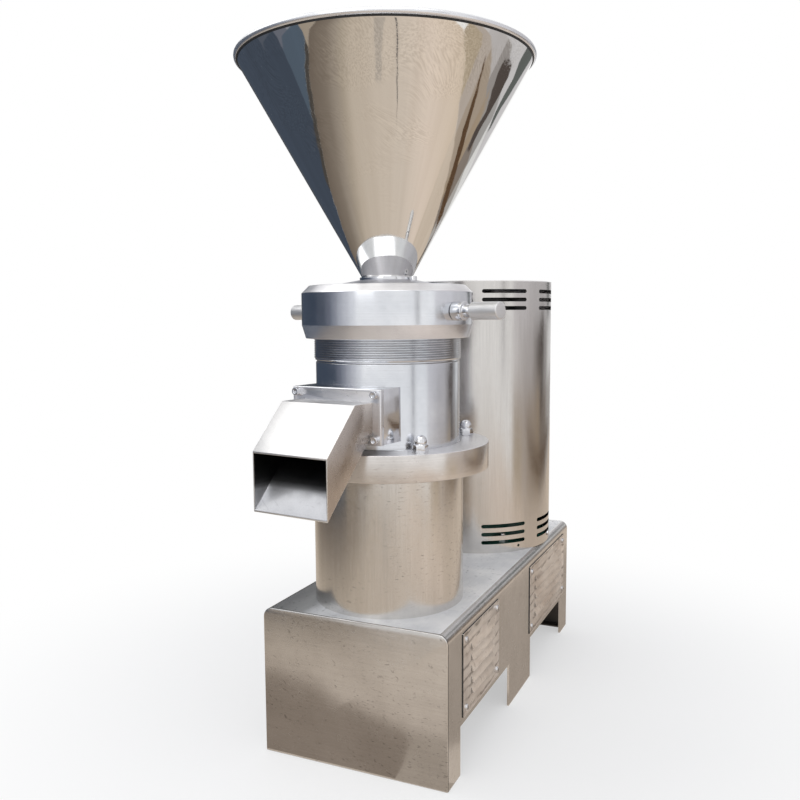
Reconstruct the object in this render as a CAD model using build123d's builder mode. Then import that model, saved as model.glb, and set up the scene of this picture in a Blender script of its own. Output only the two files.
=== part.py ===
from build123d import *
import os
from math import asin, cos, radians, sin, sqrt

os.makedirs("parts", exist_ok=True)

# All sizes are in millimetres. The mill stands at the front of the base and the motor behind it.
# The origin lies on the floor, at the middle of the space that the machine takes up.

# Fits
fit_gap = 0.05              # radial clearance of push fits and running fits
slide_gap = 0.3             # clearance between parts that slide or turn past each other
cut_margin = 1.0            # how far a cutting shape runs past the faces that it cuts
bolt_end_gap = 1.0          # between the end of a screw and the bottom of its hole

# Base
base_width = 266.0
base_height = 202.0
base_sheet = 3.0
base_corner = 13.0          # outside bend radius along the top edges
mill_to_front = 118.0       # from the mill axis to the front face of the base
mill_to_rear = 510.0        # from the mill axis to the rear face of the base
shaft_distance = 360.0      # from the mill axis to the motor axis
apron_clearance = 66.0      # from the floor to the lower edge of the aprons
front_leg = 45.0
mid_leg_start = 139.0       # from the mill axis back to the middle leg
mid_leg = 117.0
rear_leg = 48.0
foot_flange = 18.0          # inward flange at the foot of both end panels
foot_side_gap = 1.0         # between the foot flanges and the side sheets
bed_thickness = 10.0
bed_side_gap = 1.0          # between the bed plate and the bends of the cover

# Vent plates on the right-hand apron
vent_sheet = 1.2
vent_low = 73.0             # lower edge above the floor
vent_top_gap = 16.0         # from the top of the base down to the plates
vent_corner = 3.0
front_vent_start = -65.0    # along the base, from the mill axis
front_vent_length = 150.0
rear_vent_start = 249.0
rear_vent_length = 231.0
vent_screw_inset = 11.0
vent_screw_radius = 2.0
louvre_count = 5
louvre_pitch = 15.0
louvre_depth = 4.0
louvre_rise = 8.0
louvre_lip = 1.2            # upright edge of each louvre
louvre_wall = 1.0
louvre_root = 0.5           # sunk into the plate
louvre_end_margin = 30.0
vent_window_margin = 20.0

# Pedestal and its flange joint
pedestal_radius = 103.0
pedestal_wall = 8.0
pedestal_height = 184.0
pedestal_foot = 12.0        # thickness of the inside flange at the bottom
pedestal_foot_width = 16.0
pedestal_bolt_circle = 87.0
pedestal_bolt_radius = 5.0
pedestal_bolt_head = 6.5
pedestal_bolt_flats = 16.0
flange_radius = 138.0
flange_thickness = 17.5
flange_stud_circle = 118.0
flange_stud_count = 4
flange_stud_radius = 6.0
flange_stud_chamfer = 1.0
flange_nut_flats = 18.0
flange_nut_hex = 10.0
flange_nut_height = 22.0
nut_dome_inset = 0.6        # of the dome from the flats of the hexagon
nut_relief_radius = 12.0    # hollow in the outlet block for the nut beside it
hub_radius = 44.0
hub_length = 170.0
hub_bore = 20.0
hub_chamfer = 4.0
hub_flare = 10.0            # of the hub where it meets the flange

# Mill bearings and seal
upper_bearing_radius = 31.0
upper_bearing_width = 16.0
lower_bearing_radius = 26.0
lower_bearing_width = 15.0
bearing_cap = 11.0
lower_cap = 8.0
bearing_ring = 5.0          # radial thickness of each bearing ring
lower_seat_step = 0.5       # of the shaft at the lower bearing
ball_share = 0.6            # of the space between the races, across one ball
ball_count = 9
seal_bore = 26.0
seal_seat_height = 14.0
seal_head_height = 18.0
seal_head_radius = 22.0
seal_low = 12.5             # from the underside of the chamber to the seal seat
seal_face_gap = 0.1
seal_shaft_gap = 1.0
seal_land = 5.0             # width of the rubbing face
seal_step = 4.0

# Grinding chamber
chamber_radius = 98.0
chamber_bore = 84.0
chamber_floor = 25.0        # above the chamber flange
plain_height = 111.0        # from the flange up to the thread
thread_radius = 100.0
thread_height = 74.0

# Outlet block and chute
outlet_turn = -8.0          # degrees that the outlet is turned from straight ahead
outlet_plate_width = 136.0
outlet_plate_height = 69.0
outlet_plate = 7.0
outlet_plate_low = 12.0     # above the chamber flange
outlet_plate_chamfer = 0.8
outlet_block_seat = 2.0     # of the block's corners behind the face of the barrel
outlet_block_width = 132.0
outlet_block_reach = 112.0  # from the mill axis to the face of the block
outlet_gasket = 2.0
window_width = 100.0
window_height = 30.0
window_low = 6.0            # above the chamber floor
outlet_screw_radius = 3.0
outlet_screw_head = 5.0
outlet_screw_head_height = 6.0
outlet_screw_span = 121.0
outlet_screw_rise = 56.0
outlet_screw_depth = 16.0
outlet_screw_socket = 5.0
chute_width = 112.0
chute_sheet = 1.5
chute_height = 37.0         # of the duct where it leaves the plate
chute_flat = 37.0           # level part of the chute's roof
chute_run = 56.0            # sloping part of the roof, measured level
chute_gap_top = 16.0        # from the top of the plate to the roof of the chute

# Stator carrier, feed cover and hopper
carrier_flange = 8.0
carrier_flange_radius = 98.5
carrier_length = 114.0      # below its flange
stator_radius = 76.0
stator_rise = 4.0           # of the stator's lower face above the rotor's
stator_height = 78.0
feed_bore = 32.0
throat_wall = 8.0           # of the wear sleeve that lines the feed bore
throat_lip = 3.0            # its collar, in width and in height
lift_spring_height = 6.0
lift_spring_inner = 92.5
lift_spring_wall = 1.2
guide_pin_radius = 2.5
guide_pin_circle = 88.0
guide_pin_depth = 16.0
guide_pin_stand = 12.0
seal_ring_height = 5.0
seal_ring_depth = 3.0
seal_ring_drop = 92.0       # below the carrier flange
cover_radius = 73.7
cover_edge = 12.5
cover_crown = 6.5
cover_land = 4.0            # flat width round the collar
collar_flange = 4.0
collar_radius = 37.0
collar_neck = 33.0
collar_bore = 28.0
collar_depth = 18.0
collar_flare = 3.0          # of the bore at its mouth
lock_screw_radius = 4.7
lock_screw_reach = 43.0
lock_screw_angle = -11.0
lock_screw_stand = 4.5
lock_screw_socket = 5.0
lock_screw_depth = 5.0
hopper_base_radius = 34.0
hopper_top_radius = 194.0
hopper_height = 278.3
hopper_sheet = 1.5
rim_radius = 3.7
rim_overhang = 0.3          # of the middle of the rolled rim beyond the cone

# Adjusting ring and its two handles
ring_radius = 116.2
ring_height = 70.0
ring_web = 11.7
ring_chamfer = 10.0
ring_taper_height = 17.7
ring_taper_width = 5.2
ring_thread_gap = 0.4       # between the ring's bore and the chamber's thread
handle_angle = -17.0
handle_drop = 35.0          # from the top of the ring to the handle axis
handle_stem_radius = 6.0
handle_boss_radius = 12.0
handle_boss = 16.0
handle_neck_radius = 9.0
handle_neck = 12.0
handle_grip_radius = 11.0
handle_grip = 42.0
handle_chamfer = 1.5
handle_cone = 2.0           # length of the cone between neck and grip
handle_neck_step = 1.0
handle_stem_gap = 0.1       # between the stem's end and the bore of the ring

# Spindle, rotor and feed screw
shaft_lower_radius = 12.0
shaft_seat_radius = 17.0
shaft_upper_radius = 15.0
shaft_nose_radius = 8.0
shaft_tail = 4.0            # below the mill pulley
shaft_chamfer = 1.0
rotor_top_radius = 36.0
rotor_base_radius = 66.0
rotor_base_height = 8.0
rotor_height = 76.0
rotor_gap = 0.6
groove_count = 20
groove_width = 4.0
groove_depth = 4.0
groove_skew = 22.0
impeller_hub = 32.0
impeller_height = 41.0
impeller_reach = 78.0
impeller_blade = 5.0
impeller_count = 4
impeller_floor_gap = 3.0
impeller_step = 4.0         # of the blades below the top of the hub
blade_root = 2.0            # how deep blades and fins are sunk into what carries them
screw_base_radius = 22.0
screw_top_radius = 9.0
screw_height = 34.0
screw_vane_reach = 26.0
screw_vane = 4.0
screw_vane_twist = 50.0
screw_vane_count = 3
screw_vane_root = 4.0       # from the axis to the inner edge of the vanes

# Belt drive below the bed
belt_top = 12.5
belt_bottom = 7.5
belt_depth = 8.0
belt_pitch = 18.0
belt_count = 2
mill_pulley_radius = 45.0   # at the middle of the belt
motor_pulley_radius = 56.0
pulley_lip = 5.0            # rim beyond the middle of the belt
pulley_edge = 11.0          # from the end face to the middle of the first groove
pulley_groove_floor = 1.0   # below the belt
pulley_groove_lip = 0.5
pulley_bed_gap = 7.0        # between the pulleys and the bed plate

# Motor, sized to fill the shroud
motor_flange_gap = 4.8      # between the motor flange and the shroud
motor_flange = 14.0
motor_shield_height = 38.0
motor_fin_height = 9.0
motor_fin = 2.5
motor_fin_count = 32
motor_stator_wall = 28.0
motor_length = 316.0
motor_top_shield = 18.0
motor_shield_lip = 2.0      # of the top shield beyond the fins
motor_shield_bevel = 6.0
motor_shaft_radius = 14.0
motor_shaft_top = 34.0
motor_shaft_tail = 3.0
motor_core_margin = 20.0
motor_stud_edge = 17.5      # from the edge of the flange in to the studs
motor_stud_room = 19.5      # from the studs in to the frame
motor_stud_radius = 5.0
motor_stud_end = 3.0        # beyond each nut
motor_nut_flats = 16.0
motor_nut_height = 9.0
tension_travel = 12.0       # of the motor studs along their slots
fan_edge_gap = 19.0         # from the edge of the top shield in to the fan
fan_hub = 20.0
fan_disc = 3.0
fan_blade_height = 18.0
fan_blade_count = 7
fan_clearance = 4.0
cowl_sheet = 1.5
cowl_height = 70.0
cowl_overlap = 12.0
cowl_bevel = 8.0
cowl_hole_radius = 7.0
cowl_hole_counts = (6, 12, 16)
cowl_hole_first = 28.0      # radius of the innermost circle of holes
cowl_lid_gap = 19.0         # between the cowl and the lid of the shroud
terminal_box_width = 70.0
terminal_box_height = 70.0
terminal_box_depth = 27.0
terminal_box_corner = 6.0
terminal_box_gap = 0.1
terminal_box_angle = 150.0

# Motor shroud
shroud_inset = 1.7          # from the side of the base in to the shroud
shroud_sheet = 1.5
shroud_slot_height = 6.2
shroud_slot_chord = 78.0
shroud_slot_pitch = 13.5
shroud_slot_rows = 3
shroud_slot_low = 17.8      # from the base to the lowest row
shroud_slot_top = 15.5      # from the top edge to the highest row
shroud_front_group = 41.5   # turn of a group of slots from the front, on each side
shroud_side_group = 89.7
shroud_screw_count = 3
shroud_screw_angle = 3.0
shroud_screw_height = 12.0
shroud_screw_radius = 4.0
shroud_screw_stand = 2.5
shroud_spare_hole_angle = -37.0
shroud_spare_hole_radius = 2.2
shroud_spare_hole_drop = 3.0    # below the level of the screws
lid_skirt = 10.0
lid_bevel = 0.5

# Cable gland at the back
gland_height = 120.0
gland_side = 70.0
gland_radius = 11.0
gland_thread_radius = 8.0
gland_inside = 10.0         # length behind the rear panel
gland_taper = 8.0
gland_flats = 24.0
gland_hex = 7.0
gland_stand = 22.0
gland_bore = 5.0

# Places worked out from the sizes above
mouth_reach = outlet_block_reach + outlet_gasket + outlet_plate + chute_flat + chute_run
mouth_corner = chute_width / 2 * sin(radians(abs(outlet_turn)))
chute_front = mouth_reach * cos(radians(outlet_turn)) + mouth_corner
mill_y = (chute_front - mill_to_rear - gland_stand) / 2
motor_y = mill_y + shaft_distance
front_y = mill_y - mill_to_front
rear_y = mill_y + mill_to_rear
bed_top = base_height - base_sheet
bed_low = bed_top - bed_thickness
bed_width = base_width - 2 * (base_corner + bed_side_gap)
vent_height = base_height - vent_low - vent_top_gap
pedestal_top = base_height + pedestal_height
flange_split = pedestal_top + flange_thickness
flange_top = flange_split + flange_thickness
floor_level = flange_top + chamber_floor
thread_low = flange_top + plain_height
chamber_top = thread_low + thread_height
carrier_low = chamber_top + lift_spring_height
carrier_top = carrier_low + carrier_flange
ring_web_low = carrier_top + slide_gap
ring_top = ring_web_low + ring_web
ring_low = ring_top - ring_height
ring_bore = thread_radius + ring_thread_gap
cover_top = carrier_top + cover_edge + cover_crown
hopper_low = cover_top + collar_flange
hopper_top = hopper_low + hopper_height
hub_low = pedestal_top - hub_length
upper_bearing_low = flange_split - bearing_cap - upper_bearing_width
lower_bearing_low = hub_low + lower_cap
shaft_shoulder = floor_level + impeller_floor_gap
rotor_low = shaft_shoulder + impeller_height
rotor_top = rotor_low + rotor_height
stator_low = rotor_low + stator_rise
stator_top = stator_low + stator_height
pulley_top = bed_low - pulley_bed_gap
pulley_low = pulley_top - belt_pitch * (belt_count - 1) - 2 * pulley_edge
motor_shield_top = base_height + motor_shield_height
motor_top = motor_shield_top + motor_length
cowl_low = motor_top + motor_top_shield - motor_shield_bevel - cowl_overlap
cowl_top = cowl_low + cowl_height
shroud_top = cowl_top + cowl_lid_gap
shroud_height = shroud_top - base_height
shroud_radius = base_width / 2 - shroud_inset
motor_flange_radius = shroud_radius - shroud_sheet - motor_flange_gap
motor_stud_circle = motor_flange_radius - motor_stud_edge
motor_core_radius = motor_stud_circle - motor_stud_room
motor_fin_radius = motor_core_radius + motor_fin_height
motor_shield_radius = motor_fin_radius + motor_shield_lip
motor_bore = motor_core_radius - motor_stator_wall
fan_radius = motor_shield_radius - fan_edge_gap

# Working planes and axes
outlet_out = Vector(sin(radians(outlet_turn)), -cos(radians(outlet_turn)), 0)
outlet_side = Vector(cos(radians(outlet_turn)), sin(radians(outlet_turn)), 0)
mill_centre = Vector(0, mill_y, 0)
motor_centre = Vector(0, motor_y, 0)
mill_section = Plane(origin=mill_centre, x_dir=(1, 0, 0), z_dir=(0, -1, 0))
motor_section = Plane(origin=motor_centre, x_dir=(1, 0, 0), z_dir=(0, -1, 0))
mill_axis = Axis(mill_centre, (0, 0, 1))
motor_axis = Axis(motor_centre, (0, 0, 1))
chute_section = Plane(origin=mill_centre, x_dir=outlet_out, z_dir=outlet_side * -1)


def mill_level(height):
    """Level plane on the mill axis at this height."""
    return Plane(origin=(0, mill_y, height))


def motor_level(height):
    """Level plane on the motor axis at this height."""
    return Plane(origin=(0, motor_y, height))


def outlet_face(reach):
    """Upright plane across the outlet, this far from the mill axis, facing out."""
    return Plane(origin=mill_centre + outlet_out * reach, x_dir=outlet_side, z_dir=outlet_out)


def around(centre, reach, angle, height):
    """Upright plane that faces out from a vertical axis at this angle."""
    direction = Vector(cos(radians(angle)), sin(radians(angle)), 0)
    across = Vector(-sin(radians(angle)), cos(radians(angle)), 0)
    origin = Vector(centre.X, centre.Y, height) + direction * reach
    return Plane(origin=origin, x_dir=across, z_dir=direction)


# Base cover: one sheet bent over the top, with its two aprons cut away between the legs
base_length = mill_to_front + mill_to_rear
cover_length = base_length - 2 * base_sheet
front_gap_length = mid_leg_start + mill_to_front - front_leg
rear_gap_start = mid_leg_start + mid_leg
rear_gap_length = mill_to_rear - rear_leg - rear_gap_start
window_middle = vent_low + vent_height / 2
window_rise = vent_height - 2 * vent_window_margin
vent_screw_rise = vent_height - 2 * vent_screw_inset
vents = (
    ("front_vent_plate", front_vent_start, front_vent_length),
    ("rear_vent_plate", rear_vent_start, rear_vent_length),
)

with BuildPart() as base_cover:
    with BuildSketch(Plane.XZ.offset(-front_y - base_sheet)) as bend:
        Rectangle(base_width, base_height, align=(Align.CENTER, Align.MIN))
        fillet(bend.vertices().group_by(Axis.Y)[-1], base_corner)
    extrude(amount=-cover_length)
    with BuildSketch(Plane.XZ.offset(-front_y - base_sheet)) as hollow:
        Rectangle(base_width - 2 * base_sheet, bed_top, align=(Align.CENTER, Align.MIN))
        fillet(hollow.vertices().group_by(Axis.Y)[-1], base_corner - base_sheet)
    extrude(amount=-cover_length, mode=Mode.SUBTRACT)
    with BuildSketch(Plane.YZ):
        with Locations((front_y + front_leg, 0)):
            Rectangle(front_gap_length, apron_clearance, align=(Align.MIN, Align.MIN))
        with Locations((mill_y + rear_gap_start, 0)):
            Rectangle(rear_gap_length, apron_clearance, align=(Align.MIN, Align.MIN))
    extrude(amount=base_width, both=True, mode=Mode.SUBTRACT)
    with BuildSketch(Plane.YZ):
        for _, vent_start, vent_length in vents:
            with Locations((mill_y + vent_start + vent_length / 2, window_middle)):
                Rectangle(vent_length - 2 * vent_window_margin, window_rise)
    extrude(amount=base_width, mode=Mode.SUBTRACT)
    with BuildSketch(mill_level(bed_top - cut_margin)):
        Circle(hub_radius)
        with PolarLocations(pedestal_bolt_circle, 4, start_angle=45):
            Circle(pedestal_bolt_radius + fit_gap)
    extrude(amount=base_sheet + 2 * cut_margin, mode=Mode.SUBTRACT)
    with BuildSketch(motor_level(bed_top - cut_margin)):
        Circle(hub_radius)
        with GridLocations(motor_stud_circle * sqrt(2), motor_stud_circle * sqrt(2), 2, 2):
            SlotCenterToCenter(tension_travel, 2 * (motor_stud_radius + slide_gap), rotation=90)
    extrude(amount=base_sheet + 2 * cut_margin, mode=Mode.SUBTRACT)
base_cover.part.label = "base_cover"
export_step(base_cover.part, "parts/base_cover.step")

# End panels: flat plates with rounded top corners and a flange folded in at the floor
foot_length = base_width - 2 * (base_sheet + foot_side_gap)
with BuildPart() as front_panel:
    with BuildSketch(Plane.XZ.offset(-front_y)) as front_outline:
        Rectangle(base_width, base_height, align=(Align.CENTER, Align.MIN))
        fillet(front_outline.vertices().group_by(Axis.Y)[-1], base_corner)
    extrude(amount=-base_sheet)
    with BuildSketch(Plane.XY):
        with Locations((0, front_y + base_sheet)):
            Rectangle(foot_length, foot_flange, align=(Align.CENTER, Align.MIN))
    extrude(amount=base_sheet)
front_panel.part.label = "front_panel"
export_step(front_panel.part, "parts/front_panel.step")

with BuildPart() as rear_panel:
    with BuildSketch(Plane.XZ.offset(-rear_y + base_sheet)) as rear_outline:
        Rectangle(base_width, base_height, align=(Align.CENTER, Align.MIN))
        fillet(rear_outline.vertices().group_by(Axis.Y)[-1], base_corner)
    extrude(amount=-base_sheet)
    with BuildSketch(Plane.XY):
        with Locations((0, rear_y - base_sheet)):
            Rectangle(foot_length, foot_flange, align=(Align.CENTER, Align.MAX))
    extrude(amount=base_sheet)
    with BuildSketch(Plane.XZ.offset(-rear_y + base_sheet + cut_margin)):
        with Locations((gland_side, gland_height)):
            Circle(gland_thread_radius + fit_gap)
    extrude(amount=-base_sheet - 2 * cut_margin, mode=Mode.SUBTRACT)
rear_panel.part.label = "rear_panel"
export_step(rear_panel.part, "parts/rear_panel.step")

# Bed plate: welded in under the top, it carries the pedestal and the motor
with BuildPart() as bed_plate:
    with BuildSketch(Plane.XY.offset(bed_low)):
        with Locations((0, front_y + base_sheet)):
            Rectangle(bed_width, cover_length, align=(Align.CENTER, Align.MIN))
    extrude(amount=bed_thickness)
    with BuildSketch(mill_level(bed_low)):
        Circle(hub_radius)
        with PolarLocations(pedestal_bolt_circle, 4, start_angle=45):
            Circle(pedestal_bolt_radius + fit_gap)
    extrude(amount=bed_thickness, mode=Mode.SUBTRACT)
    with BuildSketch(motor_level(bed_low)):
        Circle(hub_radius)
        with GridLocations(motor_stud_circle * sqrt(2), motor_stud_circle * sqrt(2), 2, 2):
            SlotCenterToCenter(tension_travel, 2 * (motor_stud_radius + slide_gap), rotation=90)
    extrude(amount=bed_thickness, mode=Mode.SUBTRACT)
bed_plate.part.label = "bed_plate"
export_step(bed_plate.part, "parts/bed_plate.step")

# Vent plates: thin plates with pressed louvres that open downwards
apron_face = base_width / 2
vent_face = apron_face + vent_sheet
for vent_name, vent_start, vent_length in vents:
    vent_middle = mill_y + vent_start + vent_length / 2
    louvre_length = vent_length - 2 * louvre_end_margin
    lowest_louvre = window_middle - louvre_pitch * (louvre_count - 1) / 2 - louvre_rise / 2
    louvre_feet = [(vent_face, lowest_louvre + louvre_pitch * row) for row in range(louvre_count)]
    with BuildPart() as vent_plate:
        with BuildSketch(Plane.YZ.offset(apron_face)):
            with Locations((vent_middle, window_middle)):
                RectangleRounded(vent_length, vent_height, vent_corner)
        extrude(amount=vent_sheet)
        with BuildSketch(Plane.XZ.offset(-vent_middle)):
            with Locations(*louvre_feet):
                Polygon(
                    (-louvre_root, 0),
                    (louvre_depth, 0),
                    (louvre_depth, louvre_lip),
                    (0, louvre_rise),
                    (-louvre_root, louvre_rise),
                    align=None,
                )
        extrude(amount=louvre_length / 2, both=True)
        with BuildSketch(Plane.XZ.offset(-vent_middle)):
            with Locations(*louvre_feet):
                Polygon(
                    (-vent_sheet - cut_margin, -cut_margin),
                    (louvre_depth - louvre_wall, -cut_margin),
                    (louvre_depth - louvre_wall, louvre_lip),
                    (-vent_sheet - cut_margin, louvre_rise - 2 * louvre_wall),
                    align=None,
                )
        extrude(amount=louvre_length / 2 - louvre_wall, both=True, mode=Mode.SUBTRACT)
        with BuildSketch(Plane.YZ.offset(apron_face)):
            with Locations((vent_middle, window_middle)):
                with GridLocations(vent_length - 2 * vent_screw_inset, vent_screw_rise, 2, 2):
                    Circle(vent_screw_radius + fit_gap)
        extrude(amount=vent_sheet, mode=Mode.SUBTRACT)
    vent_plate.part.label = vent_name
    export_step(vent_plate.part, f"parts/{vent_name}.step")

with BuildPart() as vent_screws:
    for _, vent_start, vent_length in vents:
        with BuildSketch(Plane.YZ.offset(apron_face)):
            with Locations((mill_y + vent_start + vent_length / 2, window_middle)):
                with GridLocations(vent_length - 2 * vent_screw_inset, vent_screw_rise, 2, 2):
                    Circle(vent_screw_radius)
        extrude(amount=vent_sheet)
        with BuildSketch(Plane.YZ.offset(vent_face)):
            with Locations((mill_y + vent_start + vent_length / 2, window_middle)):
                with GridLocations(vent_length - 2 * vent_screw_inset, vent_screw_rise, 2, 2):
                    Circle(vent_screw_radius * 2)
        extrude(amount=vent_screw_radius, taper=20)
vent_screws.part.label = "vent_screws"
export_step(vent_screws.part, "parts/vent_screws.step")

# Pedestal: a tube with an inside flange at its foot, bolted up from under the bed
with BuildPart() as pedestal_tube:
    with BuildSketch(mill_section):
        Polygon(
            (pedestal_radius - pedestal_wall - pedestal_foot_width, base_height),
            (pedestal_radius, base_height),
            (pedestal_radius, pedestal_top),
            (pedestal_radius - pedestal_wall, pedestal_top),
            (pedestal_radius - pedestal_wall, base_height + pedestal_foot),
            (pedestal_radius - pedestal_wall - pedestal_foot_width, base_height + pedestal_foot),
            align=None,
        )
    revolve(axis=mill_axis)
    with BuildSketch(mill_level(base_height)):
        with PolarLocations(pedestal_bolt_circle, 4, start_angle=45):
            Circle(pedestal_bolt_radius + fit_gap)
    extrude(amount=pedestal_foot, mode=Mode.SUBTRACT)
pedestal_tube.part.label = "pedestal_tube"
export_step(pedestal_tube.part, "parts/pedestal_tube.step")

with BuildPart() as pedestal_bolts:
    with BuildSketch(mill_level(bed_low - pedestal_bolt_head)):
        with PolarLocations(pedestal_bolt_circle, 4, start_angle=45):
            RegularPolygon(pedestal_bolt_flats / 2, 6, major_radius=False)
    extrude(amount=pedestal_bolt_head)
    with BuildSketch(mill_level(bed_low)):
        with PolarLocations(pedestal_bolt_circle, 4, start_angle=45):
            Circle(pedestal_bolt_radius)
    extrude(amount=bed_thickness + base_sheet + pedestal_foot - bolt_end_gap)
pedestal_bolts.part.label = "pedestal_bolts"
export_step(pedestal_bolts.part, "parts/pedestal_bolts.step")

# Pedestal flange: the round plate on the tube, with the bearing hub hanging inside
with BuildPart() as pedestal_flange:
    with BuildSketch(mill_section):
        Polygon(
            (lower_bearing_radius, hub_low),
            (hub_radius - hub_chamfer, hub_low),
            (hub_radius, hub_low + hub_chamfer),
            (hub_radius, pedestal_top - hub_flare),
            (hub_radius + hub_flare, pedestal_top),
            (flange_radius, pedestal_top),
            (flange_radius, flange_split),
            (upper_bearing_radius + fit_gap, flange_split),
            (upper_bearing_radius + fit_gap, upper_bearing_low),
            (hub_bore, upper_bearing_low),
            (hub_bore, lower_bearing_low + lower_bearing_width),
            (lower_bearing_radius + fit_gap, lower_bearing_low + lower_bearing_width),
            (lower_bearing_radius + fit_gap, hub_low),
            align=None,
        )
    revolve(axis=mill_axis)
    with BuildSketch(mill_level(pedestal_top)):
        with PolarLocations(flange_stud_circle, flange_stud_count, start_angle=45):
            Circle(flange_stud_radius + fit_gap)
    extrude(amount=flange_thickness, mode=Mode.SUBTRACT)
pedestal_flange.part.label = "pedestal_flange"
export_step(pedestal_flange.part, "parts/pedestal_flange.step")

# Studs screwed into the pedestal flange, level with its underside
with BuildPart() as flange_studs:
    with BuildSketch(mill_level(pedestal_top)):
        with PolarLocations(flange_stud_circle, flange_stud_count, start_angle=45):
            Circle(flange_stud_radius)
    extrude(amount=2 * flange_thickness + flange_nut_hex)
    stud_ends = flange_studs.faces().filter_by(Axis.Z).edges()
    chamfer(stud_ends, flange_stud_chamfer)
flange_studs.part.label = "flange_studs"
export_step(flange_studs.part, "parts/flange_studs.step")

# Acorn nuts: a hexagon with a domed cap
nut_dome = flange_nut_flats / 2 - nut_dome_inset
with BuildPart() as acorn_nuts:
    with BuildSketch(mill_level(flange_top)):
        with PolarLocations(flange_stud_circle, flange_stud_count, start_angle=45):
            RegularPolygon(flange_nut_flats / 2, 6, major_radius=False)
    extrude(amount=flange_nut_hex)
    with BuildSketch(mill_level(flange_top + flange_nut_hex)):
        with PolarLocations(flange_stud_circle, flange_stud_count, start_angle=45):
            Circle(nut_dome)
    extrude(amount=flange_nut_height - flange_nut_hex - nut_dome)
    with Locations(mill_level(flange_top + flange_nut_height - nut_dome)):
        with PolarLocations(flange_stud_circle, flange_stud_count, start_angle=45):
            Sphere(nut_dome, arc_size1=0, align=(Align.CENTER, Align.CENTER, Align.MIN))
    with BuildSketch(mill_level(flange_top)):
        with PolarLocations(flange_stud_circle, flange_stud_count, start_angle=45):
            Circle(flange_stud_radius + fit_gap)
    extrude(amount=flange_nut_hex + fit_gap, mode=Mode.SUBTRACT)
acorn_nuts.part.label = "acorn_nuts"
export_step(acorn_nuts.part, "parts/acorn_nuts.step")

# Grinding chamber: flange, plain barrel, thread for the ring, and the outlet window
window_level = floor_level + window_low + window_height / 2
with BuildPart() as chamber_body:
    with BuildSketch(mill_section):
        Polygon(
            (seal_bore, flange_split),
            (flange_radius, flange_split),
            (flange_radius, flange_top),
            (chamber_radius, flange_top),
            (chamber_radius, thread_low),
            (thread_radius, thread_low),
            (thread_radius, chamber_top),
            (chamber_bore, chamber_top),
            (chamber_bore, floor_level),
            (seal_bore, floor_level),
            align=None,
        )
    revolve(axis=mill_axis)
    with BuildSketch(outlet_face(chamber_bore / 2)):
        with Locations((0, window_level)):
            Rectangle(window_width, window_height)
    extrude(amount=chamber_radius, mode=Mode.SUBTRACT)
    with BuildSketch(mill_level(flange_split)):
        with PolarLocations(flange_stud_circle, flange_stud_count, start_angle=45):
            Circle(flange_stud_radius + fit_gap)
    extrude(amount=flange_thickness, mode=Mode.SUBTRACT)
    with BuildSketch(mill_level(chamber_top - guide_pin_depth)):
        with PolarLocations(guide_pin_circle, 2, start_angle=90):
            Circle(guide_pin_radius + fit_gap)
    extrude(amount=guide_pin_depth, mode=Mode.SUBTRACT)
chamber_body.part.label = "chamber_body"
export_step(chamber_body.part, "parts/chamber_body.step")

# Outlet block: welded to the barrel, with the window running through it
plate_low = flange_top + outlet_plate_low
plate_middle = plate_low + outlet_plate_height / 2
block_start = sqrt(chamber_radius**2 - (outlet_block_width / 2) ** 2) - outlet_block_seat
with BuildPart() as outlet_block:
    with BuildSketch(outlet_face(block_start)):
        with Locations((0, plate_middle)):
            Rectangle(outlet_block_width, outlet_plate_height)
    extrude(amount=outlet_block_reach - block_start)
    with BuildSketch(mill_level(plate_low)):
        Circle(chamber_radius + fit_gap)
    extrude(amount=outlet_plate_height, mode=Mode.SUBTRACT)
    with BuildSketch(mill_level(flange_top)):
        with PolarLocations(flange_stud_circle, 1, start_angle=-135):
            Circle(nut_relief_radius)
    extrude(amount=flange_nut_height + cut_margin, mode=Mode.SUBTRACT)
    with BuildSketch(outlet_face(block_start)):
        with Locations((0, window_level)):
            Rectangle(window_width, window_height)
    extrude(amount=outlet_block_reach - block_start, mode=Mode.SUBTRACT)
    with BuildSketch(outlet_face(outlet_block_reach)):
        with Locations((0, plate_middle)):
            with GridLocations(outlet_screw_span, outlet_screw_rise, 2, 2):
                Circle(outlet_screw_radius + fit_gap)
    extrude(amount=-outlet_screw_depth, mode=Mode.SUBTRACT)
outlet_block.part.label = "outlet_block"
export_step(outlet_block.part, "parts/outlet_block.step")

with BuildPart() as outlet_gasket_sheet:
    with BuildSketch(outlet_face(outlet_block_reach)):
        with Locations((0, plate_middle)):
            Rectangle(outlet_block_width, outlet_plate_height)
            with GridLocations(outlet_screw_span, outlet_screw_rise, 2, 2):
                Circle(outlet_screw_radius + fit_gap, mode=Mode.SUBTRACT)
        with Locations((0, window_level)):
            Rectangle(window_width, window_height, mode=Mode.SUBTRACT)
    extrude(amount=outlet_gasket)
outlet_gasket_sheet.part.label = "outlet_gasket"
export_step(outlet_gasket_sheet.part, "parts/outlet_gasket.step")

# Chute: a screwed plate that carries a duct folded from thin sheet
plate_back = outlet_block_reach + outlet_gasket
plate_face = plate_back + outlet_plate
with BuildPart() as chute_flange:
    with BuildSketch(outlet_face(plate_back)):
        with Locations((0, plate_middle)):
            Rectangle(outlet_plate_width, outlet_plate_height)
            with GridLocations(outlet_screw_span, outlet_screw_rise, 2, 2):
                Circle(outlet_screw_radius + fit_gap, mode=Mode.SUBTRACT)
        with Locations((0, window_level)):
            Rectangle(window_width, window_height, mode=Mode.SUBTRACT)
    extrude(amount=outlet_plate)
    plate_front = chute_flange.faces().sort_by(Axis(mill_centre, outlet_out))[-1]
    chamfer(plate_front.outer_wire().edges(), outlet_plate_chamfer)
chute_flange.part.label = "chute_flange"
export_step(chute_flange.part, "parts/chute_flange.step")

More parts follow.
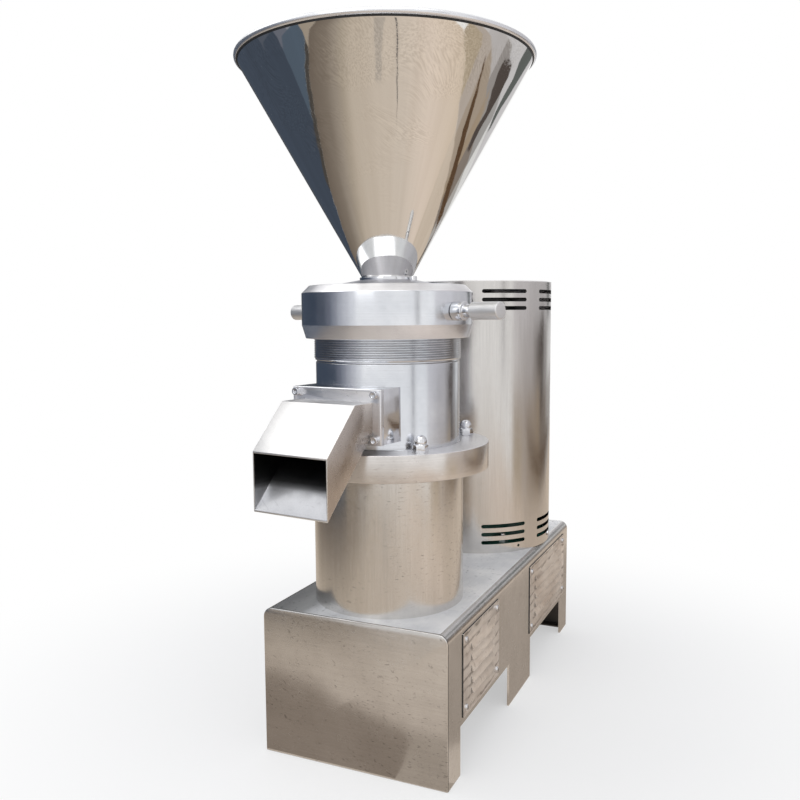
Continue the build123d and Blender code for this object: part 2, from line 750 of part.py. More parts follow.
chute_roof = plate_low + outlet_plate_height - chute_gap_top
chute_floor = chute_roof - chute_height
with BuildPart() as chute_duct:
    with BuildSketch(chute_section):
        Polygon(
            (plate_face, chute_floor),
            (plate_face, chute_roof),
            (plate_face + chute_flat, chute_roof),
            (mouth_reach, chute_roof - chute_run),
            (mouth_reach, chute_floor - chute_flat - chute_run),
            align=None,
        )
    extrude(amount=chute_width / 2, both=True)
    duct_ends = chute_duct.faces().filter_by(Axis(mill_centre, outlet_out))
    offset(amount=-chute_sheet, openings=duct_ends, kind=Kind.INTERSECTION)
chute_duct.part.label = "chute_duct"
export_step(chute_duct.part, "parts/chute_duct.step")

with BuildPart() as chute_screws:
    with BuildSketch(outlet_face(plate_face)):
        with Locations((0, plate_middle)):
            with GridLocations(outlet_screw_span, outlet_screw_rise, 2, 2):
                Circle(outlet_screw_radius)
    extrude(amount=-(outlet_plate + outlet_gasket + outlet_screw_depth - bolt_end_gap))
    with BuildSketch(outlet_face(plate_face)):
        with Locations((0, plate_middle)):
            with GridLocations(outlet_screw_span, outlet_screw_rise, 2, 2):
                Circle(outlet_screw_head)
    extrude(amount=outlet_screw_head_height)
    with BuildSketch(outlet_face(plate_face + outlet_screw_head_height)):
        with Locations((0, plate_middle)):
            with GridLocations(outlet_screw_span, outlet_screw_rise, 2, 2):
                RegularPolygon(outlet_screw_socket / 2, 6, major_radius=False)
    extrude(amount=-outlet_screw_head_height / 2, mode=Mode.SUBTRACT)
chute_screws.part.label = "chute_screws"
export_step(chute_screws.part, "parts/chute_screws.step")

# Bearings: an outer ring in the hub and an inner ring on the shaft, grooved for the balls
lower_seat_radius = shaft_lower_radius + lower_seat_step
bearings = (
    ("upper", upper_bearing_radius, shaft_upper_radius, upper_bearing_low, upper_bearing_width),
    ("lower", lower_bearing_radius, lower_seat_radius, lower_bearing_low, lower_bearing_width),
)


def race_of(outer_radius, inner_radius):
    """Radius of the circle of the balls, and of the groove they run in."""
    return (outer_radius + inner_radius) / 2, (outer_radius - inner_radius) / 2 * ball_share


for place, outer_radius, inner_radius, bearing_low, bearing_width in bearings:
    ball_circle, groove_radius = race_of(outer_radius, inner_radius)
    with BuildPart() as outer_ring:
        with BuildSketch(mill_section):
            with Locations((outer_radius - bearing_ring, bearing_low)):
                Rectangle(bearing_ring, bearing_width, align=(Align.MIN, Align.MIN))
            with Locations((ball_circle, bearing_low + bearing_width / 2)):
                Circle(groove_radius, mode=Mode.SUBTRACT)
        revolve(axis=mill_axis)
    outer_ring.part.label = f"{place}_bearing_outer"
    export_step(outer_ring.part, f"parts/{place}_bearing_outer.step")
    with BuildPart() as inner_ring:
        with BuildSketch(mill_section):
            with Locations((inner_radius + fit_gap, bearing_low)):
                Rectangle(bearing_ring, bearing_width, align=(Align.MIN, Align.MIN))
            with Locations((ball_circle, bearing_low + bearing_width / 2)):
                Circle(groove_radius, mode=Mode.SUBTRACT)
        revolve(axis=mill_axis)
    inner_ring.part.label = f"{place}_bearing_inner"
    export_step(inner_ring.part, f"parts/{place}_bearing_inner.step")

with BuildPart() as bearing_balls:
    for place, outer_radius, inner_radius, bearing_low, bearing_width in bearings:
        ball_circle, groove_radius = race_of(outer_radius, inner_radius)
        with Locations(mill_level(bearing_low + bearing_width / 2)):
            with PolarLocations(ball_circle, ball_count):
                Sphere(groove_radius - slide_gap)
bearing_balls.part.label = "bearing_balls"
export_step(bearing_balls.part, "parts/bearing_balls.step")

with BuildPart() as upper_bearing_cap:
    with BuildSketch(mill_section):
        with Locations((shaft_seat_radius + slide_gap, flange_split - bearing_cap)):
            Rectangle(
                upper_bearing_radius - shaft_seat_radius - slide_gap,
                bearing_cap,
                align=(Align.MIN, Align.MIN),
            )
    revolve(axis=mill_axis)
upper_bearing_cap.part.label = "upper_bearing_cap"
export_step(upper_bearing_cap.part, "parts/upper_bearing_cap.step")

with BuildPart() as lower_bearing_cap:
    with BuildSketch(mill_section):
        with Locations((shaft_seat_radius, hub_low)):
            Rectangle(lower_bearing_radius - shaft_seat_radius, lower_cap, align=(Align.MIN, Align.MIN))
    revolve(axis=mill_axis)
lower_bearing_cap.part.label = "lower_bearing_cap"
export_step(lower_bearing_cap.part, "parts/lower_bearing_cap.step")

# Shaft seal: a still seat in the chamber floor and a head that turns with the shaft
seal_seat_low = flange_split + seal_low
seal_head_low = seal_seat_low + seal_seat_height + seal_face_gap
seal_inner = shaft_upper_radius + seal_shaft_gap
with BuildPart() as seal_seat:
    with BuildSketch(mill_section):
        Polygon(
            (seal_inner, seal_seat_low),
            (seal_bore - fit_gap, seal_seat_low),
            (seal_bore - fit_gap, seal_seat_low + seal_seat_height - seal_step),
            (seal_inner + seal_land, seal_seat_low + seal_seat_height - seal_step),
            (seal_inner + seal_land, seal_seat_low + seal_seat_height),
            (seal_inner, seal_seat_low + seal_seat_height),
            align=None,
        )
    revolve(axis=mill_axis)
seal_seat.part.label = "seal_seat"
export_step(seal_seat.part, "parts/seal_seat.step")

with BuildPart() as seal_head:
    with BuildSketch(mill_section):
        Polygon(
            (shaft_upper_radius + fit_gap, seal_head_low),
            (shaft_upper_radius + seal_land, seal_head_low),
            (shaft_upper_radius + seal_land, seal_head_low + seal_step),
            (seal_head_radius, seal_head_low + seal_step),
            (seal_head_radius, seal_head_low + seal_head_height),
            (shaft_upper_radius + fit_gap, seal_head_low + seal_head_height),
            align=None,
        )
    revolve(axis=mill_axis)
seal_head.part.label = "seal_head"
export_step(seal_head.part, "parts/seal_head.step")

# Guide pins keep the carrier from turning, and a conical spring lifts it against the ring
with BuildPart() as guide_pins:
    with BuildSketch(mill_level(chamber_top - guide_pin_depth + bolt_end_gap)):
        with PolarLocations(guide_pin_circle, 2, start_angle=90):
            Circle(guide_pin_radius)
    extrude(amount=guide_pin_depth - bolt_end_gap + guide_pin_stand)
guide_pins.part.label = "guide_pins"
export_step(guide_pins.part, "parts/guide_pins.step")

with BuildPart() as lift_spring:
    with BuildSketch(mill_section):
        Polygon(
            (lift_spring_inner, chamber_top),
            (lift_spring_inner + lift_spring_wall, chamber_top),
            (carrier_flange_radius, carrier_low),
            (carrier_flange_radius - lift_spring_wall, carrier_low),
            align=None,
        )
    revolve(axis=mill_axis)
lift_spring.part.label = "lift_spring"
export_step(lift_spring.part, "parts/lift_spring.step")

# Stator carrier: slides in the chamber bore and hangs from its flange under the ring
carrier_radius = chamber_bore - slide_gap
carrier_bottom = carrier_low - carrier_length
seal_ring_top = carrier_low - seal_ring_drop
throat_radius = feed_bore + throat_wall
lip_radius = throat_radius + throat_lip
with BuildPart() as stator_carrier:
    with BuildSketch(mill_section):
        Polygon(
            (stator_radius, carrier_bottom),
            (carrier_radius, carrier_bottom),
            (carrier_radius, seal_ring_top - seal_ring_height),
            (carrier_radius - seal_ring_depth, seal_ring_top - seal_ring_height),
            (carrier_radius - seal_ring_depth, seal_ring_top),
            (carrier_radius, seal_ring_top),
            (carrier_radius, carrier_low),
            (carrier_flange_radius, carrier_low),
            (carrier_flange_radius, carrier_top),
            (lip_radius + fit_gap, carrier_top),
            (lip_radius + fit_gap, carrier_top - throat_lip),
            (throat_radius + fit_gap, carrier_top - throat_lip),
            (throat_radius + fit_gap, stator_top),
            (stator_radius, stator_top),
            align=None,
        )
    revolve(axis=mill_axis)
    with BuildSketch(mill_level(carrier_low)):
        with PolarLocations(guide_pin_circle, 2, start_angle=90):
            Circle(guide_pin_radius + fit_gap)
    extrude(amount=carrier_flange, mode=Mode.SUBTRACT)
stator_carrier.part.label = "stator_carrier"
export_step(stator_carrier.part, "parts/stator_carrier.step")

# Throat sleeve: hangs by its lip in the carrier and takes the wear of the falling nuts
with BuildPart() as throat_sleeve:
    with BuildSketch(mill_section):
        Polygon(
            (feed_bore, stator_top),
            (throat_radius, stator_top),
            (throat_radius, carrier_top - throat_lip),
            (lip_radius, carrier_top - throat_lip),
            (lip_radius, carrier_top),
            (feed_bore, carrier_top),
            align=None,
        )
    revolve(axis=mill_axis)
throat_sleeve.part.label = "throat_sleeve"
export_step(throat_sleeve.part, "parts/throat_sleeve.step")

with BuildPart() as carrier_seal_ring:
    with BuildSketch(mill_section):
        seal_corner = (carrier_radius - seal_ring_depth + fit_gap, seal_ring_top - seal_ring_height + fit_gap)
        with Locations(seal_corner):
            Rectangle(
                seal_ring_depth + slide_gap / 2 - fit_gap,
                seal_ring_height - 2 * fit_gap,
                align=(Align.MIN, Align.MIN),
            )
    revolve(axis=mill_axis)
carrier_seal_ring.part.label = "carrier_seal_ring"
export_step(carrier_seal_ring.part, "parts/carrier_seal_ring.step")

# Grinding cone: rotor and stator carry skewed straight grooves along their cones
cone_slope = (rotor_base_radius - rotor_top_radius) / (rotor_height - rotor_base_height)
cone_low = rotor_low + rotor_base_height
cone_length = (rotor_height - rotor_base_height) * sqrt(1 + cone_slope**2)


def cone_radius(height):
    """Radius of the rotor's cone at this height."""
    return rotor_base_radius - (height - cone_low) * cone_slope


def cone_face(clearance, skew):
    """Plane on the grinding cone at the front of the mill, turned by the groove's skew."""
    height = (cone_low + rotor_top) / 2
    origin = Vector(0, mill_y - cone_radius(height) - clearance, height)
    upward = Vector(0, cone_slope, 1).normalized()
    outward = Vector(0, -1, cone_slope).normalized()
    turned = upward.rotate(Axis((0, 0, 0), outward), skew)
    return Plane(origin=origin, x_dir=turned, z_dir=outward)


with BuildPart() as rotor_groove:
    with BuildSketch(cone_face(0, groove_skew)):
        Rectangle(cone_length * 1.4, groove_width)
    extrude(amount=groove_depth, both=True)

with BuildPart() as stator_groove:
    with BuildSketch(cone_face(rotor_gap, -groove_skew)):
        Rectangle(cone_length * 1.4, groove_width)
    extrude(amount=groove_depth, both=True)

with BuildPart() as rotor:
    with BuildSketch(mill_section):
        Polygon(
            (shaft_lower_radius + fit_gap, rotor_low),
            (rotor_base_radius, rotor_low),
            (rotor_base_radius, cone_low),
            (rotor_top_radius, rotor_top),
            (shaft_lower_radius + fit_gap, rotor_top),
            align=None,
        )
    revolve(axis=mill_axis)
    for turn in range(groove_count):
        add(rotor_groove.part.rotate(mill_axis, turn * 360 / groove_count), mode=Mode.SUBTRACT)
rotor.part.label = "rotor"
export_step(rotor.part, "parts/rotor.step")

with BuildPart() as stator:
    with BuildSketch(mill_section):
        Polygon(
            (cone_radius(cone_low) + rotor_gap, stator_low),
            (stator_radius - fit_gap, stator_low),
            (stator_radius - fit_gap, stator_top),
            (cone_radius(stator_top) + rotor_gap, stator_top),
            (cone_radius(cone_low) + rotor_gap, cone_low),
            align=None,
        )
    revolve(axis=mill_axis)
    for turn in range(groove_count):
        add(stator_groove.part.rotate(mill_axis, turn * 360 / groove_count), mode=Mode.SUBTRACT)
stator.part.label = "stator"
export_step(stator.part, "parts/stator.step")

# Feed cover on the carrier, with the hopper's collar and lock screw
with BuildPart() as feed_cover:
    with BuildSketch(mill_section):
        Polygon(
            (collar_neck, carrier_top),
            (cover_radius, carrier_top),
            (cover_radius, carrier_top + cover_edge),
            (collar_radius + cover_land, cover_top),
            (collar_neck, cover_top),
            align=None,
        )
    revolve(axis=mill_axis)
    with BuildSketch(mill_level(cover_top - lock_screw_depth)):
        with PolarLocations(lock_screw_reach, 1, start_angle=lock_screw_angle):
            Circle(lock_screw_radius + fit_gap)
    extrude(amount=lock_screw_depth + cut_margin, mode=Mode.SUBTRACT)
feed_cover.part.label = "feed_cover"
export_step(feed_cover.part, "parts/feed_cover.step")

with BuildPart() as lock_screw:
    with BuildSketch(mill_level(cover_top - lock_screw_depth)):
        with PolarLocations(lock_screw_reach, 1, start_angle=lock_screw_angle):
            Circle(lock_screw_radius)
    extrude(amount=lock_screw_depth + lock_screw_stand)
    with BuildSketch(mill_level(cover_top + lock_screw_stand)):
        with PolarLocations(lock_screw_reach, 1, start_angle=lock_screw_angle):
            RegularPolygon(lock_screw_socket / 2, 6, major_radius=False)
    extrude(amount=-lock_screw_stand, mode=Mode.SUBTRACT)
lock_screw.part.label = "lock_screw"
export_step(lock_screw.part, "parts/lock_screw.step")

with BuildPart() as hopper_collar:
    with BuildSketch(mill_section):
        Polygon(
            (collar_bore, cover_top - collar_depth),
            (collar_neck - fit_gap, cover_top - collar_depth),
            (collar_neck - fit_gap, cover_top),
            (collar_radius, cover_top),
            (collar_radius, hopper_low),
            (collar_bore + collar_flare, hopper_low),
            (collar_bore, hopper_low - collar_flare),
            align=None,
        )
    revolve(axis=mill_axis)
hopper_collar.part.label = "hopper_collar"
export_step(hopper_collar.part, "parts/hopper_collar.step")

# Hopper: a thin cone with its rim rolled outwards round a wire
hopper_slope = (hopper_top_radius - hopper_base_radius) / hopper_height
hopper_wall = hopper_sheet * sqrt(1 + hopper_slope**2)
with BuildPart() as hopper:
    with BuildSketch(mill_section):
        Polygon(
            (hopper_base_radius - hopper_wall, hopper_low),
            (hopper_base_radius, hopper_low),
            (hopper_top_radius, hopper_top),
            (hopper_top_radius, hopper_top + rim_radius),
            (hopper_top_radius - hopper_wall, hopper_top + rim_radius),
            (hopper_top_radius - hopper_wall, hopper_top),
            align=None,
        )
        with Locations((hopper_top_radius + rim_overhang, hopper_top + rim_radius)):
            Circle(rim_radius)
    revolve(axis=mill_axis)
hopper.part.label = "hopper"
export_step(hopper.part, "parts/hopper.step")

# Adjusting ring: a deep threaded collar with a chamfered top and a tapered lower band
handle_level = ring_top - handle_drop
with BuildPart() as adjusting_ring:
    with BuildSketch(mill_section):
        Polygon(
            (ring_bore, ring_low),
            (ring_radius - ring_taper_width, ring_low),
            (ring_radius, ring_low + ring_taper_height),
            (ring_radius, ring_top - ring_chamfer),
            (ring_radius - ring_chamfer, ring_top),
            (cover_radius + slide_gap, ring_top),
            (cover_radius + slide_gap, ring_web_low),
            (ring_bore, ring_web_low),
            align=None,
        )
    revolve(axis=mill_axis)
    for turn in (0, 180):
        with BuildSketch(around(mill_centre, thread_radius, handle_angle + turn, handle_level)):
            Circle(handle_stem_radius + fit_gap)
        extrude(amount=ring_radius - thread_radius + cut_margin, mode=Mode.SUBTRACT)
adjusting_ring.part.label = "adjusting_ring"
export_step(adjusting_ring.part, "parts/adjusting_ring.step")

# Locking handles: turned pins with a boss, a neck and a grip, screwed through the ring
stem_start = ring_bore + handle_stem_gap
boss_start = ring_radius + slide_gap
neck_start = boss_start + handle_boss
grip_start = neck_start + handle_neck
grip_end = grip_start + handle_grip
for handle_name, turn in (("right_handle", 0), ("left_handle", 180)):
    angle = radians(handle_angle + turn)
    handle_out = Vector(cos(angle), sin(angle), 0)
    handle_centre = Vector(0, mill_y, handle_level)
    handle_section = Plane(origin=handle_centre, x_dir=handle_out, z_dir=(sin(angle), -cos(angle), 0))
    with BuildPart() as handle:
        with BuildSketch(handle_section):
            Polygon(
                (stem_start, 0),
                (stem_start, handle_stem_radius),
                (boss_start, handle_stem_radius),
                (boss_start, handle_boss_radius),
                (neck_start - handle_chamfer, handle_boss_radius),
                (neck_start, handle_boss_radius - handle_chamfer),
                (neck_start, handle_neck_radius),
                (grip_start - handle_cone, handle_neck_radius - handle_neck_step),
                (grip_start, handle_grip_radius),
                (grip_end - handle_chamfer, handle_grip_radius),
                (grip_end, handle_grip_radius - handle_chamfer),
                (grip_end, 0),
                align=None,
            )
        revolve(axis=Axis(handle_centre, handle_out))
    handle.part.label = handle_name
    export_step(handle.part, f"parts/{handle_name}.step")

# Spindle: stepped shaft, discharge impeller, feed screw and pulley
with BuildPart() as mill_shaft:
    with BuildSketch(mill_section):
        Polygon(
            (0, pulley_low - shaft_tail),
            (shaft_lower_radius - shaft_chamfer, pulley_low - shaft_tail),
            (shaft_lower_radius, pulley_low - shaft_tail + shaft_chamfer),
            (shaft_lower_radius, lower_bearing_low),
            (lower_seat_radius, lower_bearing_low),
            (lower_seat_radius, lower_bearing_low + lower_bearing_width),
            (shaft_seat_radius, lower_bearing_low + lower_bearing_width),
            (shaft_seat_radius, upper_bearing_low),
            (shaft_upper_radius, upper_bearing_low),
            (shaft_upper_radius, shaft_shoulder),
            (shaft_lower_radius, shaft_shoulder),
            (shaft_lower_radius, rotor_top - shaft_chamfer),
            (shaft_nose_radius, rotor_top - shaft_chamfer),
            (shaft_nose_radius, rotor_top + screw_height / 2),
            (0, rotor_top + screw_height / 2),
            align=None,
        )
    revolve(axis=mill_axis)
mill_shaft.part.label = "mill_shaft"
export_step(mill_shaft.part, "parts/mill_shaft.step")

with BuildPart() as discharge_impeller:
    with BuildSketch(mill_level(shaft_shoulder)):
        Circle(impeller_hub)
    extrude(amount=impeller_height)
    with BuildSketch(mill_level(shaft_shoulder)):
        with PolarLocations((impeller_hub + impeller_reach - blade_root) / 2, impeller_count):
            Rectangle(impeller_reach - impeller_hub + blade_root, impeller_blade)
    extrude(amount=impeller_height - impeller_step)
    with BuildSketch(mill_level(shaft_shoulder)):
        Circle(shaft_lower_radius + fit_gap)
    extrude(amount=impeller_height, mode=Mode.SUBTRACT)
discharge_impeller.part.label = "discharge_impeller"
export_step(discharge_impeller.part, "parts/discharge_impeller.step")

with BuildPart() as vane:
    for step in range(3):
        vane_level = Plane(origin=(0, 0, step * screw_height / 2))
        with BuildSketch(vane_level.rotated((0, 0, step * screw_vane_twist))):
            with Locations(((screw_vane_reach + screw_vane_root) / 2, 0)):
                Rectangle(screw_vane_reach - screw_vane_root, screw_vane)
    loft()

with BuildPart() as feed_screw:
    with BuildSketch(mill_section):
        Polygon(
            (0, rotor_top),
            (screw_base_radius, rotor_top),
            (screw_top_radius, rotor_top + screw_height),
            (0, rotor_top + screw_height + screw_top_radius / 2),
            align=None,
        )
    revolve(axis=mill_axis)
    with Locations(mill_level(rotor_top)):
        with PolarLocations(0, screw_vane_count):
            add(vane.part)
    with BuildSketch(mill_level(rotor_top)):
        Circle(shaft_nose_radius + fit_gap)
    extrude(amount=screw_height / 2 + fit_gap, mode=Mode.SUBTRACT)
feed_screw.part.label = "feed_screw"
export_step(feed_screw.part, "parts/feed_screw.step")

# Pulleys: two belt grooves each, and the belts that run in them
belt_levels = [pulley_low + pulley_edge + belt_pitch * turn for turn in range(belt_count)]
pulleys = (
    ("mill_pulley", mill_section, mill_axis, mill_pulley_radius, shaft_lower_radius),
    ("motor_pulley", motor_section, motor_axis, motor_pulley_radius, motor_shaft_radius),
)
for pulley_name, section, axis, belt_radius, bore_radius in pulleys:
    with BuildPart() as pulley:
        with BuildSketch(section):
            with Locations((bore_radius + fit_gap, pulley_low)):
                Rectangle(
                    belt_radius + pulley_lip - bore_radius - fit_gap,
                    pulley_top - pulley_low,
                    align=(Align.MIN, Align.MIN),
                )
            for level in belt_levels:
                with Locations((belt_radius, level)):
                    Polygon(
                        (-belt_depth / 2 - pulley_groove_floor, -belt_bottom / 2 - slide_gap),
                        (belt_depth / 2, -belt_top / 2 - slide_gap),
                        (belt_depth, -belt_top / 2 - slide_gap - pulley_groove_lip),
                        (belt_depth, belt_top / 2 + slide_gap + pulley_groove_lip),
                        (belt_depth / 2, belt_top / 2 + slide_gap),
                        (-belt_depth / 2 - pulley_groove_floor, belt_bottom / 2 + slide_gap),
                        align=None,
                        mode=Mode.SUBTRACT,
                    )
        revolve(axis=axis)
    pulley.part.label = pulley_name
    export_step(pulley.part, f"parts/{pulley_name}.step")

belt_lean = asin((motor_pulley_radius - mill_pulley_radius) / shaft_distance)
belt_normal = Vector(cos(belt_lean), -sin(belt_lean), 0)
belt_normal_left = Vector(-cos(belt_lean), -sin(belt_lean), 0)
with BuildPart() as drive_belts:
    for level in belt_levels:
        lift = Vector(0, 0, level)
        with BuildLine() as belt_path:
            mill_right = mill_centre + lift + belt_normal * mill_pulley_radius
            mill_left = mill_centre + lift + belt_normal_left * mill_pulley_radius
            motor_right = motor_centre + lift + belt_normal * motor_pulley_radius
            motor_left = motor_centre + lift + belt_normal_left * motor_pulley_radius
            Line(mill_right, motor_right)
            ThreePointArc(motor_right, motor_centre + lift + Vector(0, motor_pulley_radius, 0), motor_left)
            Line(motor_left, mill_left)
            ThreePointArc(mill_left, mill_centre + lift - Vector(0, mill_pulley_radius, 0), mill_right)
        with BuildSketch(Plane(origin=mill_right, x_dir=belt_normal, z_dir=motor_right - mill_right)):
            Polygon(
                (-belt_depth / 2, -belt_bottom / 2),
                (belt_depth / 2, -belt_top / 2),
                (belt_depth / 2, belt_top / 2),
                (-belt_depth / 2, belt_bottom / 2),
                align=None,
            )
        sweep(path=belt_path.wires()[0])
drive_belts.part.label = "drive_belts"
export_step(drive_belts.part, "parts/drive_belts.step")

# Motor: flange shield, finned frame, top shield, and the studs that clamp it to the bed
with BuildPart() as motor_flange_shield:
    with BuildSketch(motor_section):
        Polygon(
            (motor_shaft_radius + fit_gap, base_height),
            (motor_flange_radius, base_height),
            (motor_flange_radius, base_height + motor_flange),
            (motor_fin_radius, base_height + motor_flange),
            (motor_core_radius, motor_shield_top),
            (motor_shaft_radius + fit_gap, motor_shield_top),
            align=None,
        )
    revolve(axis=motor_axis)
    with BuildSketch(motor_level(base_height)):
        with PolarLocations(motor_stud_circle, 4, start_angle=45):
            Circle(motor_stud_radius + fit_gap)
    extrude(amount=motor_shield_height, mode=Mode.SUBTRACT)
motor_flange_shield.part.label = "motor_flange_shield"
export_step(motor_flange_shield.part, "parts/motor_flange_shield.step")

with BuildPart() as motor_frame:
    with BuildSketch(motor_level(motor_shield_top)):
        Circle(motor_core_radius)
        with PolarLocations((motor_core_radius + motor_fin_radius - blade_root) / 2, motor_fin_count):
            Rectangle(motor_fin_height + blade_root, motor_fin)
        Circle(motor_bore, mode=Mode.SUBTRACT)
    extrude(amount=motor_length)
motor_frame.part.label = "motor_frame"
export_step(motor_frame.part, "parts/motor_frame.step")

with BuildPart() as motor_top_shield_plate:
    with BuildSketch(motor_section):
        Polygon(
            (motor_shaft_radius + fit_gap, motor_top),
            (motor_shield_radius, motor_top),
            (motor_shield_radius, motor_top + motor_top_shield - motor_shield_bevel),
            (motor_core_radius, motor_top + motor_top_shield),
            (motor_shaft_radius + fit_gap, motor_top + motor_top_shield),
            align=None,
        )
    revolve(axis=motor_axis)
motor_top_shield_plate.part.label = "motor_top_shield"
export_step(motor_top_shield_plate.part, "parts/motor_top_shield.step")

stud_low = bed_low - motor_nut_height - motor_stud_end
stud_top = base_height + motor_flange + motor_nut_height + motor_stud_end
with BuildPart() as motor_studs:
    with BuildSketch(motor_level(stud_low)):
        with PolarLocations(motor_stud_circle, 4, start_angle=45):
            Circle(motor_stud_radius)
    extrude(amount=stud_top - stud_low)
    for nut_low in (bed_low - motor_nut_height, base_height + motor_flange):
        with BuildSketch(motor_level(nut_low)):
            with PolarLocations(motor_stud_circle, 4, start_angle=45):
                RegularPolygon(motor_nut_flats / 2, 6, major_radius=False)
        extrude(amount=motor_nut_height)
motor_studs.part.label = "motor_studs"
export_step(motor_studs.part, "parts/motor_studs.step")

terminal_box_face = around(
    motor_centre,
    motor_fin_radius + terminal_box_gap,
    terminal_box_angle,
    motor_shield_top + motor_length / 2,
)
with BuildPart() as terminal_box:
    with BuildSketch(terminal_box_face):
        RectangleRounded(terminal_box_width, terminal_box_height, terminal_box_corner)
    extrude(amount=terminal_box_depth)
terminal_box.part.label = "terminal_box"
export_step(terminal_box.part, "parts/terminal_box.step")

# Fan cowl: a cup over the fan with rings of holes in its top
cowl_radius = motor_shield_radius + fit_gap + cowl_sheet
cowl_inner_bevel = cowl_bevel + cowl_sheet / 3
cowl_hole_step = (fan_radius - cowl_hole_first) / (len(cowl_hole_counts) - 1)
with BuildPart() as fan_cowl:
    with BuildSketch(motor_section):
        Polygon(
            (cowl_radius - cowl_sheet, cowl_low),
            (cowl_radius, cowl_low),
            (cowl_radius, cowl_top - cowl_bevel),
            (cowl_radius - cowl_bevel, cowl_top),
            (0, cowl_top),
            (0, cowl_top - cowl_sheet),
            (cowl_radius - cowl_inner_bevel, cowl_top - cowl_sheet),
            (cowl_radius - cowl_sheet, cowl_top - cowl_inner_bevel),
            align=None,
        )
    revolve(axis=motor_axis)
    with BuildSketch(motor_level(cowl_top - cowl_sheet - cut_margin)):
        for circle, hole_count in enumerate(cowl_hole_counts):
            with PolarLocations(cowl_hole_first + cowl_hole_step * circle, hole_count):
                Circle(cowl_hole_radius)
    extrude(amount=cowl_sheet + 2 * cut_margin, mode=Mode.SUBTRACT)
fan_cowl.part.label = "fan_cowl"
export_step(fan_cowl.part, "parts/fan_cowl.step")

# Turning parts of the motor: shaft, rotor core and fan
with BuildPart() as motor_shaft:
    with BuildSketch(motor_level(pulley_low - motor_shaft_tail)):
        Circle(motor_shaft_radius)
    extrude(amount=motor_top + motor_top_shield + motor_shaft_top - pulley_low + motor_shaft_tail)
    chamfer(motor_shaft.edges().filter_by(GeomType.CIRCLE), shaft_chamfer)
motor_shaft.part.label = "motor_shaft"
export_step(motor_shaft.part, "parts/motor_shaft.step")

with BuildPart() as motor_core:
    with BuildSketch(motor_level(motor_shield_top + motor_core_margin)):
        Circle(motor_bore - 2 * slide_gap)
        Circle(motor_shaft_radius + fit_gap, mode=Mode.SUBTRACT)
    extrude(amount=motor_length - 2 * motor_core_margin)
motor_core.part.label = "motor_core"
export_step(motor_core.part, "parts/motor_core.step")

fan_low = motor_top + motor_top_shield + fan_clearance
with BuildPart() as motor_fan:
    with BuildSketch(motor_level(fan_low)):
        Circle(fan_radius)
    extrude(amount=fan_disc)
    with BuildSketch(motor_level(fan_low)):
        Circle(fan_hub)
        with PolarLocations((fan_radius + fan_hub - blade_root) / 2, fan_blade_count):
            Rectangle(fan_radius - fan_hub, fan_disc)
    extrude(amount=fan_blade_height)
    with BuildSketch(motor_level(fan_low)):
        Circle(motor_shaft_radius + fit_gap)
    extrude(amount=fan_blade_height, mode=Mode.SUBTRACT)
motor_fan.part.label = "motor_fan"
export_step(motor_fan.part, "parts/motor_fan.step")

# Motor shroud: a rolled sheet, slotted near both ends at the front and sides, and a flat lid
slot_levels = [base_height + shroud_slot_low + shroud_slot_pitch * row for row in range(shroud_slot_rows)]
slot_levels += [shroud_top - shroud_slot_top - shroud_slot_pitch * row for row in range(shroud_slot_rows)]
slot_start = shroud_radius / sqrt(2)
slot_turns = (-shroud_side_group, -shroud_front_group, shroud_front_group, shroud_side_group)
slot_angles = [turn - 90 for turn in slot_turns]
slot_planes = [around(motor_centre, slot_start, angle, 0) for angle in slot_angles]
spare_hole_level = base_height + shroud_screw_height - shroud_spare_hole_drop
with BuildPart() as motor_shroud:
    with BuildSketch(motor_level(base_height)):
        Circle(shroud_radius)
        Circle(shroud_radius - shroud_sheet, mode=Mode.SUBTRACT)
    extrude(amount=shroud_height)
    with BuildSketch(*slot_planes):
        with Locations(*[(0, level) for level in slot_levels]):
            SlotOverall(shroud_slot_chord, shroud_slot_height)
    extrude(amount=shroud_radius - slot_start + cut_margin, mode=Mode.SUBTRACT)
    with BuildSketch(around(motor_centre, shroud_radius, shroud_spare_hole_angle, spare_hole_level)):
        Circle(shroud_spare_hole_radius)
    extrude(amount=shroud_sheet + cut_margin, both=True, mode=Mode.SUBTRACT)
motor_shroud.part.label = "motor_shroud"
export_step(motor_shroud.part, "parts/motor_shroud.step")

with BuildPart() as shroud_lid:
    with BuildSketch(motor_section):
        Polygon(
            (0, shroud_top),
            (shroud_radius, shroud_top),
            (shroud_radius, shroud_top + shroud_sheet - lid_bevel),
            (shroud_radius - lid_bevel, shroud_top + shroud_sheet),
            (0, shroud_top + shroud_sheet),
            align=None,
        )
        with Locations((shroud_radius - shroud_sheet - fit_gap, shroud_top)):
            Rectangle(shroud_sheet, lid_skirt, align=(Align.MAX, Align.MAX))
    revolve(axis=motor_axis)
shroud_lid.part.label = "shroud_lid"
export_step(shroud_lid.part, "parts/shroud_lid.step")

with BuildPart() as shroud_screws:
    for turn in range(shroud_screw_count):
        angle = shroud_screw_angle + 360 / shroud_screw_count * turn
        with BuildSketch(around(motor_centre, shroud_radius, angle, base_height + shroud_screw_height)):
            Circle(shroud_screw_radius)
        extrude(amount=shroud_screw_stand, taper=15)
shroud_screws.part.label = "shroud_screws"
export_step(shroud_screws.part, "parts/shroud_screws.step")

